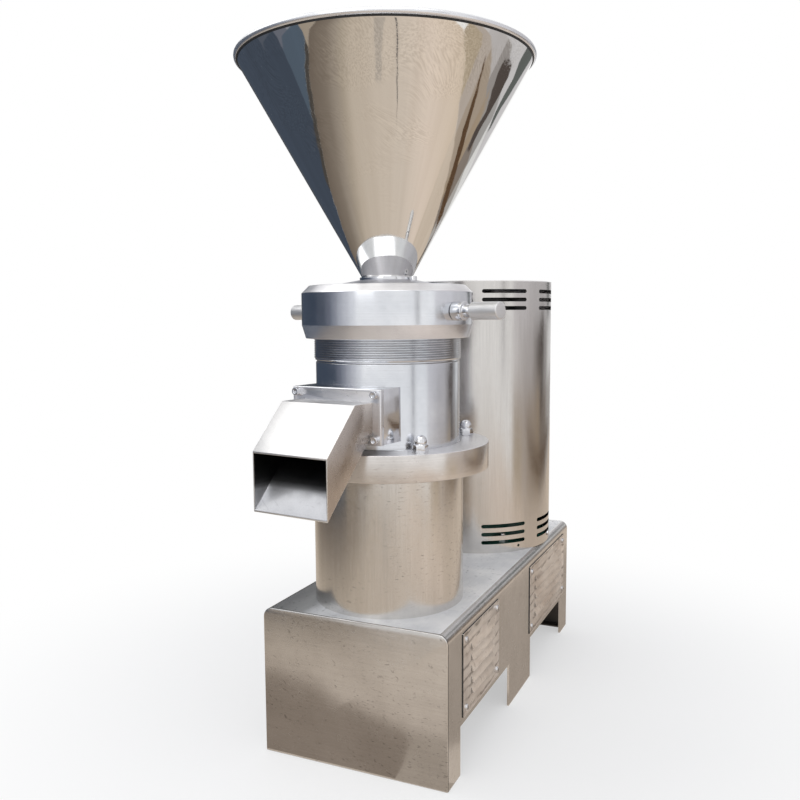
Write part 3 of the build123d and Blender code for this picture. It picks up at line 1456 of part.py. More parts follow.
# Cable gland in the rear panel
with BuildPart() as cable_gland:
    gland_plane = Plane(origin=(gland_side, rear_y, gland_height), x_dir=(-1, 0, 0), z_dir=(0, 1, 0))
    with BuildSketch(gland_plane.offset(-base_sheet - gland_inside)):
        Circle(gland_thread_radius)
    extrude(amount=base_sheet + gland_inside)
    with BuildSketch(gland_plane):
        RegularPolygon(gland_flats / 2, 6, major_radius=False)
    extrude(amount=gland_hex)
    with BuildSketch(gland_plane.offset(gland_hex)):
        Circle(gland_radius)
    extrude(amount=gland_stand - gland_hex, taper=gland_taper)
    with BuildSketch(gland_plane.offset(-base_sheet - gland_inside)):
        Circle(gland_bore)
    extrude(amount=base_sheet + gland_inside + gland_stand, mode=Mode.SUBTRACT)
cable_gland.part.label = "cable_gland"
export_step(cable_gland.part, "parts/cable_gland.step")
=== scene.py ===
import math

import bmesh
import bpy
from mathutils import Matrix, Vector


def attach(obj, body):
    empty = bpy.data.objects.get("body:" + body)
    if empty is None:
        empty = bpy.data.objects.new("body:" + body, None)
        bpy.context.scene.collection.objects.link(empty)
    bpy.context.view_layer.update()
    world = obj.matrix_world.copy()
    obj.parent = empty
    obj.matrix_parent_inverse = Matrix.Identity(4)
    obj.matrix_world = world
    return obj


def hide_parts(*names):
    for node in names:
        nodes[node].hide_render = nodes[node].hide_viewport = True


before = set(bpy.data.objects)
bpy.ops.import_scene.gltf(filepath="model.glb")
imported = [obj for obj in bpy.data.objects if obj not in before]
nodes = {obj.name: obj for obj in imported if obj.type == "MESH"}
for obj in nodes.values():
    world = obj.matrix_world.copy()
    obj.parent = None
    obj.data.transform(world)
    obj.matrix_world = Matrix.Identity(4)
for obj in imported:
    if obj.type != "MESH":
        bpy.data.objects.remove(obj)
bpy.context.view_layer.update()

# Sizes are in millimetres and become metres only where a mesh or an object is made.
MM = 0.001
MILL = Vector((0.0, -156.144, 0.0))
MOTOR = Vector((0.0, 203.856, 0.0))
OUTLET_TURN = math.radians(-8.0)
OUT = Vector((math.sin(OUTLET_TURN), -math.cos(OUTLET_TURN), 0.0))
SIDE = Vector((math.cos(OUTLET_TURN), math.sin(OUTLET_TURN), 0.0))
UP = Vector((0.0, 0.0, 1.0))
ROUND = 192
HANDLE_TURN = math.radians(-17.0)

# Levels of the mill, from the floor
BASE_TOP = 202.0
PEDESTAL_TOP = 386.0
FLANGE_SPLIT = 403.5
FLANGE_TOP = 421.0
THREAD_LOW = 532.0
CHAMBER_TOP = 606.0
RING_LOW = 562.0
CARRIER_TOP = 620.0
RING_TOP = 632.0
COVER_TOP = 639.0
HOPPER_LOW = 643.0
HOPPER_TOP = 921.3
HANDLE_LEVEL = 597.0

# Radii of the mill, and the hopper's wall measured level
PEDESTAL_R = 103.0
FLANGE_R = 138.0
BARREL_R = 98.0
RING_R = 116.2
CONE_FOOT_R = 34.0
CONE_TOP_R = 194.0
CONE_WALL = 1.73


# Node and colour helpers


def colour(code):
    """Linear colour from an sRGB hex value."""
    parts = [int(code[i : i + 2], 16) / 255 for i in (1, 3, 5)]
    return tuple(p / 12.92 if p <= 0.04045 else ((p + 0.055) / 1.055) ** 2.4 for p in parts) + (1.0,)


def add(tree, kind, inputs=None, **settings):
    """Adds a node, sets its properties, and fills or links its inputs."""
    made = tree.nodes.new(kind)
    for name, value in settings.items():
        setattr(made, name, value)
    for key, value in (inputs or {}).items():
        if isinstance(value, bpy.types.NodeSocket):
            tree.links.new(value, made.inputs[key])
        else:
            made.inputs[key].default_value = value
    return made


def calc(tree, operation, *values):
    """Result of a Math node."""
    return add(tree, "ShaderNodeMath", dict(enumerate(values)), operation=operation).outputs[0]


def vector_calc(tree, operation, *values):
    """Result of a Vector Math node: a vector, or a number for a length or a dot product."""
    made = add(tree, "ShaderNodeVectorMath", dict(enumerate(values)), operation=operation)
    return made.outputs["Value" if operation in ("LENGTH", "DOT_PRODUCT") else "Vector"]


def part_of(tree, vector, index):
    """One of a vector's three numbers."""
    return add(tree, "ShaderNodeSeparateXYZ", {0: vector}).outputs[index]


def remap(tree, value, source=(0.0, 1.0), target=(0.0, 1.0), **settings):
    """Value carried from one range to another."""
    ends = {"From Min": source[0], "From Max": source[1], "To Min": target[0], "To Max": target[1]}
    return add(tree, "ShaderNodeMapRange", {"Value": value, **ends}, **settings).outputs[0]


def noise(tree, at, scale, detail, roughness=0.5, distortion=0.0, output="Fac"):
    """Noise texture."""
    sizes = {"Scale": scale, "Detail": detail, "Roughness": roughness, "Distortion": distortion}
    return add(tree, "ShaderNodeTexNoise", {"Vector": at, **sizes}).outputs[output]


def in_cells(tree, at, cell, turn=(0, 0, 0)):
    """Coordinates counted in cells of a given size in metres, along turned axes."""
    inputs = {"Vector": at, "Rotation": turn, "Scale": cell}
    return add(tree, "ShaderNodeMapping", inputs, vector_type="TEXTURE").outputs[0]


def bumped(tree, height, strength, distance, normal=None):
    """Normal tilted by a height; the distance is in millimetres."""
    inputs = {"Height": height, "Strength": strength, "Distance": distance * MM}
    if normal:
        inputs["Normal"] = normal
    return add(tree, "ShaderNodeBump", inputs).outputs[0]


def ramp(tree, factor, stops):
    """Colour ramp with (position, colour) stops; a bare number is a grey."""
    made = add(tree, "ShaderNodeValToRGB", {"Fac": factor})
    band = made.color_ramp
    while len(band.elements) < len(stops):
        band.elements.new(1.0)
    for element, (position, value) in zip(band.elements, stops):
        element.position = position
        element.color = value if isinstance(value, tuple) else (value, value, value, 1.0)
    return made.outputs["Color"]


def blend_colours(tree, factor, first, second, mode="MIX"):
    """Mix node for colours, whose sockets 0, 6 and 7 are the factor, A and B."""
    return add(tree, "ShaderNodeMix", {0: factor, 6: first, 7: second}, data_type="RGBA", blend_type=mode).outputs[2]


def new_material(name):
    """Empty node material with its output and a Principled shader."""
    material = bpy.data.materials.new(name)
    material.use_nodes = True
    tree = material.node_tree
    tree.nodes.clear()
    output = add(tree, "ShaderNodeOutputMaterial")
    shader = add(tree, "ShaderNodeBsdfPrincipled")
    tree.links.new(shader.outputs[0], output.inputs[0])
    return material, tree, shader


def wire(tree, shader, base, roughness, normal, metallic):
    """Joins the parts of a finish to its shader."""
    shader.inputs["Metallic"].default_value = metallic
    for name, socket in (("Base Color", base), ("Roughness", roughness), ("Normal", normal)):
        tree.links.new(socket, shader.inputs[name])


def round_coordinates(tree, centre):
    """Object coordinates from an upright axis, in metres: as (distance, 0, height) and as they are."""
    moved = vector_calc(tree, "SUBTRACT", add(tree, "ShaderNodeTexCoord").outputs["Object"], centre * MM)
    reach = vector_calc(tree, "LENGTH", vector_calc(tree, "MULTIPLY", moved, (1, 1, 0)))
    return add(tree, "ShaderNodeCombineXYZ", {0: reach, 2: part_of(tree, moved, 2)}).outputs[0], moved


GRAIN_STRETCH = {"x": (0.03, 1, 1), "y": (1, 0.03, 1), "z": (1, 1, 0.03)}
INNER_SHADE_FADE = [(0.0, 0.9), (0.1, 0.5), (0.24, 0.19), (0.42, 0.11), (0.7, 0.09), (1.0, 0.09)]
DARK_REFLECTION_FADE = [(0.0, 0.2), (0.45, 0.38), (0.8, 1.0)]
SHADOW_ROW_FORM = [(0.0, 0.5), (0.1, 0.0), (0.72, 0.0), (0.93, 1.0), (1.0, 0.5)]
SHADOW_ROW_DRIFT = 0.008


def steel(name, light, dark, rough, grain, axis="turned", centre=MILL, bands=(1, 1, 1), stains=0.3, scratches=0.2,
          wear_and_edge_highlight=0.0, relief=0.02, dents=0.0, metallic=1.0, corner_shade=0.0, inner_shade=None, dark_reflection_span=None, shadow_rows=None):
    """Bare steel finish.

    light and dark are the two tones that drift over the surface, rough is (smoothest, roughest), grain is the spacing
    of the grinding or turning marks in millimetres, axis says how they run, bands stretches the drift of tone along an
    axis, stains and scratches are amounts, wear_and_edge_highlight brightens rounded edges, partly as wear and partly
    as a painted highlight, relief is the depth of the marks and dents the depth of soft waves in the sheet, both in
    millimetres, corner_shade is painted shade that darkens corners and recesses, inner_shade is a pair of levels
    between which painted shade darkens the sheet upwards, dark_reflection_span is a pair of places along X between
    which a painted dark reflection thins out, and shadow_rows is the level and the pitch of creases along which
    painted shadow lines run.
    """
    material, tree, shader = new_material(name)
    light, dark = colour(light), colour(dark)
    lines_at, plain = round_coordinates(tree, centre)
    if axis != "turned":
        lines_at = add(tree, "ShaderNodeMapping", {"Vector": plain, "Scale": GRAIN_STRETCH[axis]}).outputs[0]
    banded = add(tree, "ShaderNodeMapping", {"Vector": plain, "Scale": bands}).outputs[0]
    lines = noise(tree, lines_at, 1 / (grain * MM), 3.0, 0.6)
    drift = noise(tree, banded, 11.0, 4.0, 0.6)
    smear = noise(tree, plain, 90.0, 5.0, 0.7, 0.6)
    base = blend_colours(tree, ramp(tree, drift, [(0.34, 0.0), (0.66, 1.0)]), light, dark)
    base = blend_colours(tree, 0.8, base, ramp(tree, lines, [(0.3, 0.93), (0.7, 1.02)]), "MULTIPLY")
    # Specks and short level dashes, a few millimetres long, gathered in patches
    patches = ramp(tree, noise(tree, plain, 9.0, 2.0), [(0.42, 0.1), (0.58, 1.0)])
    dashes = noise(tree, in_cells(tree, plain, (0.007, 0.007, 0.0018)), 1.0, 3.0, 0.55)
    specks = calc(tree, "MULTIPLY", ramp(tree, dashes, [(0.62, 0.0), (0.70, 1.0)]), patches)
    base = blend_colours(tree, calc(tree, "MULTIPLY", specks, stains), base, tuple(c * 0.5 for c in dark[:3]) + (1.0,))
    # Long scratches that run across the sheet and down to the right
    scratch = noise(tree, in_cells(tree, plain, (0.14, 0.005, 0.005), (0, 0.42, -0.55)), 1.0, 4.0, 0.65)
    scratch = calc(tree, "MULTIPLY", ramp(tree, scratch, [(0.62, 0.0), (0.70, 1.0)]), scratches)
    base = blend_colours(tree, scratch, base, tuple(c * 0.55 for c in dark[:3]) + (1.0,))
    # Painted highlight on rounded edges, partly also wear: lighter where the rounded normal turns from the true one
    if wear_and_edge_highlight:
        rounded = add(tree, "ShaderNodeBevel", {"Radius": 2.0 * MM}, samples=4).outputs[0]
        agree = vector_calc(tree, "DOT_PRODUCT", rounded, add(tree, "ShaderNodeNewGeometry").outputs["Normal"])
        base = blend_colours(tree, ramp(tree, agree, [(0.88, wear_and_edge_highlight), (0.985, 0.0)]), base, colour("#f4f2ee"))
    # Painted shade: darker in corners and recesses, found by ambient occlusion
    if corner_shade:
        around = add(tree, "ShaderNodeAmbientOcclusion", {"Distance": 7.0 * MM}, samples=6, only_local=True)
        corner = ramp(tree, around.outputs["AO"], [(0.45, corner_shade), (0.85, 0.0)])
        base = blend_colours(tree, corner, base, colour("#2c2723"))
    # Painted shade: darker upwards between two levels, deeper inside a passage
    if inner_shade:
        depth = remap(tree, part_of(tree, plain, 2), (inner_shade[0] * MM, inner_shade[1] * MM))
        base = blend_colours(tree, 1.0, base, ramp(tree, depth, INNER_SHADE_FADE), "MULTIPLY")
    # Painted dark reflection: darker towards lower X, its edge blurred by the drift of tone
    if dark_reflection_span:
        away_from_left = remap(tree, part_of(tree, plain, 0), (dark_reflection_span[0] * MM, dark_reflection_span[1] * MM))
        away_from_left = calc(tree, "ADD", away_from_left, calc(tree, "SUBTRACT", drift, 0.5))
        base = blend_colours(tree, 1.0, base, ramp(tree, away_from_left, DARK_REFLECTION_FADE), "MULTIPLY")
    # Painted shadow lines: one dark line each pitch above a level, wandering and broken up by noise
    if shadow_rows:
        low, pitch = shadow_rows[0] * MM, shadow_rows[1] * MM
        row_noise = noise(tree, in_cells(tree, plain, (0.03, 0.03, 0.009), (0.25, 0, 0)), 1.0, 3.0)
        wander = remap(tree, row_noise, target=(-low - SHADOW_ROW_DRIFT, -low + SHADOW_ROW_DRIFT))
        step = calc(tree, "DIVIDE", calc(tree, "ADD", part_of(tree, plain, 2), wander), pitch)
        row_shadow = ramp(tree, calc(tree, "FRACT", step), SHADOW_ROW_FORM)
        row_shadow = calc(tree, "MULTIPLY", row_shadow, ramp(tree, row_noise, [(0.4, 0.15), (0.58, 1.0)]))
        base = blend_colours(tree, calc(tree, "MULTIPLY", row_shadow, 0.75), base, colour("#4a3f36"))
    normal = bumped(tree, calc(tree, "SUBTRACT", lines, scratch), 0.35, relief)
    if dents:
        normal = bumped(tree, noise(tree, banded, 38.0, 2.0, 0.45), 1.0, dents, normal)
    wire(tree, shader, base, remap(tree, smear, (0.3, 0.7), rough), normal, metallic)
    return material


def plain_finish(name, light, dark, rough, grit, relief, metallic=0.0, coat=0.0):
    """Paint, rubber, plastic or ceramic: two tones, a fine grit and a little relief."""
    material, tree, shader = new_material(name)
    place = add(tree, "ShaderNodeTexCoord").outputs["Object"]
    drift = noise(tree, place, 18.0, 4.0)
    fine = noise(tree, place, 1 / (grit * MM), 3.0)
    base = blend_colours(tree, ramp(tree, drift, [(0.35, 0.0), (0.65, 1.0)]), colour(light), colour(dark))
    base = blend_colours(tree, 0.7, base, ramp(tree, fine, [(0.35, 0.88), (0.65, 1.06)]), "MULTIPLY")
    shader.inputs["Coat Weight"].default_value = coat
    wire(tree, shader, base, remap(tree, drift, target=rough), bumped(tree, fine, 0.5, relief), metallic)
    return material


def mirror_sheet():
    """Stainless sheet polished with a mop: sharp reflections, with feathery swirls that the mop left."""
    material, tree, shader = new_material("mop_polished_stainless_sheet")
    plain = round_coordinates(tree, MILL)[1]
    # Short curved strokes, about 30 mm long and 2 mm wide, that turn with a slow swirl and gather in patches
    swirl = vector_calc(tree, "MULTIPLY", noise(tree, plain, 9.0, 1.0, output="Color"), (0.11, 0.11, 0.11))
    stroke_map = in_cells(tree, vector_calc(tree, "ADD", plain, swirl), (0.03, 0.0018, 0.0018), (0.3, 0.75, 0.4))
    strokes = noise(tree, stroke_map, 1.0, 2.0)
    where = ramp(tree, noise(tree, plain, 11.0, 2.0), [(0.47, 0.0), (0.6, 1.0)])
    feather = calc(tree, "MULTIPLY", ramp(tree, strokes, [(0.5, 0.0), (0.62, 1.0)]), where)
    valley = calc(tree, "MULTIPLY", ramp(tree, strokes, [(0.38, 1.0), (0.5, 0.0)]), where)
    # Faint streaks that run up the cone, where the sheet was rolled
    spoke = vector_calc(tree, "NORMALIZE", vector_calc(tree, "MULTIPLY", plain, (1, 1, 0)))
    streaks = ramp(tree, noise(tree, spoke, 9.0, 3.0, 0.55), [(0.3, 0.0), (0.7, 1.0)])
    base = blend_colours(tree, streaks, colour("#e3e1dd"), colour("#eae9e6"))
    base = blend_colours(tree, calc(tree, "MULTIPLY", feather, 0.3), base, colour("#fffdf6"))
    base = blend_colours(tree, calc(tree, "MULTIPLY", valley, 0.25), base, colour("#b9b3a8"))
    waves = bumped(tree, noise(tree, plain, 20.0, 2.0, 0.4), 0.6, 0.6)
    normal = bumped(tree, noise(tree, plain, 300.0, 3.0), 0.15, 0.004, waves)
    wire(tree, shader, base, remap(tree, feather, target=(0.05, 0.13)), normal, 1.0)
    return material


# Materials, each named for its substance and how it was made, some also for the light or shade painted into them;
# the amounts for edges paint highlights on rounded edges, partly as wear, and those for corners paint shade there
finish = {
    # Cold-rolled stainless with a dull mill finish: an even grey that takes the floor's warmth, specked and scratched
    "base": steel("scuffed_cold_rolled_stainless", "#dedddc", "#cfcdcb", (0.20, 0.28), 2.2, axis="x", stains=0.9,
                  scratches=0.7, wear_and_edge_highlight=0.8, dents=0.05),
    # The top of the same cover: duller and mottled, a paler copy that scatters the light from above as a painted
    # highlight, with a painted dark reflection towards the left
    "top": steel("cold_rolled_stainless_top_painted_light", "#ffffff", "#dcdee2", (0.42, 0.55), 2.2, axis="y", stains=0.8,
                 scratches=0.3, wear_and_edge_highlight=0.75, relief=0.03, dents=0.06, metallic=0.25, dark_reflection_span=(-115.0, -30.0)),
    # The inside of the covers, never polished: dull, and dark with painted shade
    "inside": steel("stainless_inside_painted_shade", "#6b6967", "#4c4a48", (0.45, 0.6), 2.5, axis="x", stains=0.5,
                    relief=0.03),
    # Stainless tube rolled and ground along its length: soft upright bands of light, scuffed on the left
    "tube": steel("ground_stainless_tube", "#e8e6e3", "#d3d0cc", (0.17, 0.25), 1.8, axis="z", bands=(1, 1, 0.12),
                  stains=0.7, scratches=0.15, relief=0.012, dents=0.035),
    # Lathe-turned stainless: clean and cool, with close turning marks
    "turned": steel("lathe_turned_stainless", "#e7e9ed", "#d3d6dc", (0.15, 0.22), 1.4, stains=0.12, scratches=0.08,
                    relief=0.012, corner_shade=0.35),
    # The flange's top, the ring's chamfer and the shroud's lid: faced, then rubbed with fine cloth, pale all round; a
    # paler, partly diffuse copy of the turned steel on faces that look up, as a painted highlight from the light above
    "faced": steel("faced_stainless_painted_highlight", "#f6f5f6", "#e3e2e4", (0.28, 0.38), 1.4, stains=0.15,
                   scratches=0.12, wear_and_edge_highlight=0.8, metallic=0.78, corner_shade=0.6),
    # The ring's tapered skirt: turned, then rubbed with cloth, cool and slightly dull
    "skirt": steel("cloth_rubbed_turned_stainless", "#eceef4", "#d9dbe2", (0.18, 0.26), 1.4, stains=0.12,
                   scratches=0.1, relief=0.012, metallic=0.86),
    # Turned flange edge: the same steel, a little duller and warmer from the hand
    "flange": steel("turned_stainless_flange", "#e6e3e1", "#d4d0cd", (0.20, 0.28), 1.6, stains=0.35,
                    scratches=0.15, relief=0.015),
    # Thin bright-annealed sheet, folded: pale and satin, light from above floods it
    "chute": steel("bright_annealed_sheet", "#e9e8e7", "#dcdbda", (0.34, 0.42), 1.8, axis="z", stains=0.12,
                   scratches=0.12, wear_and_edge_highlight=0.8, dents=0.05, metallic=0.97),
    # The chute's sides, ground by hand: smoother than its roof, and darker and warmer as painted shade
    "chute_side": steel("ground_chute_side_painted_shade", "#c9c1bb", "#b5aca5", (0.24, 0.32), 1.8, axis="z", stains=0.2,
                        scratches=0.15, wear_and_edge_highlight=0.8, dents=0.08),
    # Inside the chute, painted shade darkens the sheet upwards, deeper into the passage towards the mill
    "chute_inside": steel("sheet_inside_painted_shade", "#e6e7ea", "#d3d4d8", (0.30, 0.40), 1.8, axis="z", scratches=0.3,
                          dents=0.05, inner_shade=(382.5, 415.0)),
    # Cut plate behind the chute, rubbed by hand: an even neutral grey
    "plate": steel("rubbed_stainless_plate", "#eeeef1", "#dcdce0", (0.26, 0.34), 1.6, axis="x", stains=0.2,
                   wear_and_edge_highlight=0.8, metallic=0.85, corner_shade=0.7),
    # Sheet rolled into the shroud: fine vertical grain and soft upright bands
    "shroud": steel("rolled_stainless_shroud", "#dcdad8", "#d0cdca", (0.17, 0.24), 1.8, axis="z", centre=MOTOR,
                    bands=(1, 1, 0.06), stains=0.12, scratches=0.08, relief=0.01, dents=0.04),
    # Punched cover plate: matt and brushed by hand, with the sheet crumpled round its louvres, painted shadow lines
    # under them and painted shade in its corners
    "vent": steel("hand_brushed_vent_plate", "#f8f3ee", "#d5cbc3", (0.26, 0.4), 2.0, axis="y", stains=0.9,
                  scratches=0.6, wear_and_edge_highlight=0.9, relief=0.05, dents=0.9, metallic=0.8, corner_shade=0.9, shadow_rows=(95.5, 15.0)),
    # The rolled rim of the hopper, buffed with the cone: a paler, duller copy of its steel as a painted highlight
    "rim": steel("rolled_rim_painted_highlight", "#f0f1f4", "#e0e1e5", (0.22, 0.30), 1.2, stains=0.0, scratches=0.0,
                 relief=0.004, metallic=0.9),
    # The feed cover: faced and rubbed to an even pale grey
    "cover": steel("rubbed_stainless_cover", "#c9c9cf", "#bcbcc3", (0.34, 0.44), 1.4, stains=0.1, scratches=0.1,
                   metallic=0.7),
    # Painted shadow: black in the gap under the hopper's rim and on the vent plates' edges, where they stand off
    "gap_shadow": plain_finish("black_painted_gap_shadow", "#26282c", "#1b1c1f", (0.5, 0.6), 1.0, 0.03),
    # Buffed fasteners and small turned parts
    "bright": steel("buffed_stainless_fastener", "#e6e7ea", "#d6d7db", (0.10, 0.18), 1.2, stains=0.1, scratches=0.1,
                    relief=0.01),
    # Handle grip blasted with fine beads: even, dull and pale
    "blasted": steel("bead_blasted_stainless", "#e9e9ea", "#d8d8d9", (0.40, 0.50), 1.0, stains=0.15, scratches=0.1,
                     relief=0.04, metallic=0.85),
    # Ground and hardened steel inside the mill
    "hardened": steel("hardened_ground_stainless", "#b9babd", "#9fa0a4", (0.22, 0.34), 1.2, stains=0.1),
    "mirror": mirror_sheet(),
    # Enamel sprayed on the motor's castings: orange-peel skin under a soft gloss
    "green": plain_finish("sprayed_green_enamel", "#2f6f60", "#25594d", (0.32, 0.45), 2.0, 0.06, coat=0.2),
    # Primer brushed on the bed plate
    "primer": plain_finish("brushed_grey_primer", "#5b5d5f", "#48494b", (0.55, 0.7), 3.0, 0.1),
    # Moulded nitrile rubber: black with a dusty bloom
    "rubber": plain_finish("moulded_black_rubber", "#1f1f20", "#141415", (0.55, 0.75), 1.5, 0.05),
    # Grey iron, machined and oiled
    "iron": plain_finish("machined_grey_iron", "#5c5c5d", "#444446", (0.4, 0.55), 1.5, 0.05, metallic=0.9),
    # Black enamel of the fan cowl
    "black": plain_finish("sprayed_black_enamel", "#16181c", "#0f1013", (0.35, 0.45), 2.0, 0.05),
    # Moulded nylon: black with a faint texture
    "nylon": plain_finish("moulded_black_nylon", "#222324", "#191a1b", (0.4, 0.5), 1.0, 0.03),
    # Lapped ceramic of the seal
    "ceramic": plain_finish("lapped_white_ceramic", "#d9d5cb", "#cbc6ba", (0.2, 0.3), 1.0, 0.01),
}


# Mesh helpers


def soften(outline, steps=4):
    """Rounds the corners of an outline whose points carry a radius as a third number."""
    result = []
    count = len(outline)
    for i, point in enumerate(outline):
        here = Vector(point[:2])
        radius = point[2] if len(point) > 2 else 0.0
        if not radius:
            result.append(tuple(here))
            continue
        before = Vector(outline[i - 1][:2]) - here
        after = Vector(outline[(i + 1) % count][:2]) - here
        half = before.angle(after) / 2
        reach = min(radius / math.tan(half), before.length * 0.49, after.length * 0.49)
        start, end = here + before.normalized() * reach, here + after.normalized() * reach
        for step in range(steps + 1):
            t = step / steps
            result.append(tuple(start * (1 - t) ** 2 + here * 2 * t * (1 - t) + end * t**2))
    return result


def new_object(name, data):
    """Object at the origin, linked to the scene."""
    made = bpy.data.objects.new(name, data)
    bpy.context.scene.collection.objects.link(made)
    return made


def from_build(name, build):
    """Object from a bmesh, which is freed."""
    mesh = bpy.data.meshes.new(name)
    build.to_mesh(mesh)
    build.free()
    return new_object(name, mesh)


def to_mesh(name, build):
    """Merges doubles in a bmesh, points its faces outwards, and makes an object of it."""
    bmesh.ops.remove_doubles(build, verts=build.verts, dist=0.002 * MM)
    bmesh.ops.recalc_face_normals(build, faces=build.faces)
    return from_build(name, build)


def smooth(piece, angle=32.0):
    """Smooth shading that keeps edges sharper than the angle."""
    piece.data.shade_smooth()
    piece.data.set_sharp_from_angle(angle=math.radians(angle))


def lathe(name, outline, centre=MILL, axis=UP, across=None, steps=ROUND, corner=4):
    """Turns a closed outline of (radius, height) about an axis; points on the axis close the ends."""
    points = soften(outline, corner)
    across = across or (Vector((1, 0, 0)) if abs(axis.z) > 0.9 else UP.cross(axis).normalized())
    other = axis.cross(across)
    build = bmesh.new()
    rings = []
    for step in range(steps):
        turn = 2 * math.pi * step / steps
        spoke = across * math.cos(turn) + other * math.sin(turn)
        rings.append([build.verts.new((centre + axis * z + spoke * r) * MM) for r, z in points])
    for step in range(steps):
        here, there = rings[step], rings[(step + 1) % steps]
        for i in range(len(points)):
            j = (i + 1) % len(points)
            if points[i][0] < 1e-6 and points[j][0] < 1e-6:
                continue
            build.faces.new((here[i], there[i], there[j], here[j]))
    bmesh.ops.remove_doubles(build, verts=build.verts, dist=0.002 * MM)
    bmesh.ops.dissolve_degenerate(build, edges=build.edges, dist=0.001 * MM)
    return to_mesh(name, build)


def prism(name, outline, plane, low, high):
    """Solid from a flat outline; plane is (origin, x, y) and the solid runs along x cross y."""
    origin, x_dir, y_dir = plane
    z_dir = x_dir.cross(y_dir)
    build = bmesh.new()
    corners = [[origin + x_dir * u + y_dir * v + z_dir * w for u, v in outline] for w in (low, high)]
    ends = [[build.verts.new(corner * MM) for corner in corner_ring] for corner_ring in corners]
    build.faces.new(ends[0])
    build.faces.new(ends[1])
    for i in range(len(outline)):
        j = (i + 1) % len(outline)
        build.faces.new((ends[0][i], ends[0][j], ends[1][j], ends[1][i]))
    return to_mesh(name, build)


def freeze(piece):
    """Replaces a piece's mesh by what its modifiers give."""
    graph = bpy.context.evaluated_depsgraph_get()
    graph.update()
    mesh = bpy.data.meshes.new_from_object(piece.evaluated_get(graph))
    piece.modifiers.clear()
    piece.data = mesh


def carve(piece, tool, operation="DIFFERENCE"):
    """Boolean with another mesh, which is then removed."""
    cut = piece.modifiers.new("cut", "BOOLEAN")
    cut.operation = operation
    cut.solver = "EXACT"
    cut.object = tool
    freeze(piece)
    bpy.data.objects.remove(tool)


def bevel(piece, width, segments=2, angle=35.0):
    """Rounds the sharp edges of a piece."""
    made = piece.modifiers.new("round", "BEVEL")
    made.width = width * MM
    made.segments = segments
    made.limit_method = "ANGLE"
    made.angle_limit = math.radians(angle)
    made.harden_normals = False
    made.use_clamp_overlap = True
    freeze(piece)


def finish_piece(piece, look, body, stands_for=(), angle=32.0):
    """Gives a piece its material, its body and the nodes that it stands for."""
    piece.data.materials.clear()
    piece.data.materials.append(finish[look])
    smooth(piece, angle)
    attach(piece, body)
    if stands_for:
        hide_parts(*stands_for)
    return piece


def mark_sides(piece, look, chosen):
    """Gives another finish to the faces that a test of (middle, direction) picks."""
    piece.data.materials.append(finish[look])
    for face in piece.data.polygons:
        if chosen(face.center / MM, face.normal):
            face.material_index = len(piece.data.materials) - 1


def mark_faces(piece, look, chosen):
    """Gives another finish to the faces that a test of (distance from the mill axis, level) picks."""
    mark_sides(piece, look, lambda at, facing: chosen(math.hypot(*(at - MILL).xy), at.z))


def copy_of(node, name):
    """Merged copy of a CAD node's mesh with its flat faces whole."""
    build = bmesh.new()
    build.from_mesh(nodes[node].data)
    bmesh.ops.remove_doubles(build, verts=build.verts, dist=0.01 * MM)
    bmesh.ops.dissolve_limit(build, angle_limit=math.radians(0.5), verts=build.verts, edges=build.edges)
    return from_build(name, build)


def dress(node, look, body, width=0.4, angle=32.0):
    """Copy of a CAD node with rounded edges and a finish."""
    made = copy_of(node, node + "_dressed")
    if width:
        bevel(made, width)
    return finish_piece(made, look, body, (node,), angle)


# Repeats by Geometry Nodes


def repeat_tree(kind):
    """Node group that puts one fastener on every point of a grid or a circle."""
    tree = bpy.data.node_groups.new(kind + "_of_fasteners", "GeometryNodeTree")
    sizes = {"Fastener": "Object", "Finish": "Material"}
    if kind == "grid":
        sizes |= {"Length": "Float", "Width": "Float", "Columns": "Int", "Rows": "Int"}
    else:
        sizes |= {"Radius": "Float", "Count": "Int", "First turn": "Float"}
    for name, socket in sizes.items():
        tree.interface.new_socket(name, in_out="INPUT", socket_type="NodeSocket" + socket)
    tree.interface.new_socket("Geometry", in_out="OUTPUT", socket_type="NodeSocketGeometry")
    given = add(tree, "NodeGroupInput").outputs
    if kind == "grid":
        counts = {"Vertices X": given["Columns"], "Vertices Y": given["Rows"]}
        points = add(tree, "GeometryNodeMeshGrid", {"Size X": given["Length"], "Size Y": given["Width"], **counts})
    else:
        circle = add(tree, "GeometryNodeMeshCircle", {"Vertices": given["Count"], "Radius": given["Radius"]})
        turn = add(tree, "ShaderNodeCombineXYZ", {2: given["First turn"]}).outputs[0]
        points = add(tree, "GeometryNodeTransform", {"Geometry": circle.outputs[0], "Rotation": turn})
    source = add(tree, "GeometryNodeObjectInfo", {"Object": given["Fastener"]}).outputs["Geometry"]
    copies = add(tree, "GeometryNodeInstanceOnPoints", {"Points": points.outputs[0], "Instance": source}).outputs[0]
    solid = add(tree, "GeometryNodeRealizeInstances", {"Geometry": copies}).outputs[0]
    coloured = add(tree, "GeometryNodeSetMaterial", {"Geometry": solid, "Material": given["Finish"]}).outputs[0]
    add(tree, "NodeGroupOutput", {"Geometry": coloured})
    return tree


trees = {kind: repeat_tree(kind) for kind in ("grid", "circle")}


def repeat(name, kind, fastener, look, place, **sizes):
    """Repeats a fastener and places the result by a matrix in millimetres."""
    host = new_object(name, bpy.data.meshes.new(name))
    layer = host.modifiers.new("repeat", "NODES")
    values = {"Fastener": fastener, "Finish": finish[look], **{k.replace("_", " "): v for k, v in sizes.items()}}
    layer.node_group = trees[kind]
    for item in trees[kind].interface.items_tree:
        if item.in_out == "INPUT":
            layer[item.identifier] = values[item.name]
    freeze(host)
    scale = Matrix.Diagonal((MM, MM, MM, 1.0))
    host.data.transform(scale @ place @ scale.inverted())
    return host


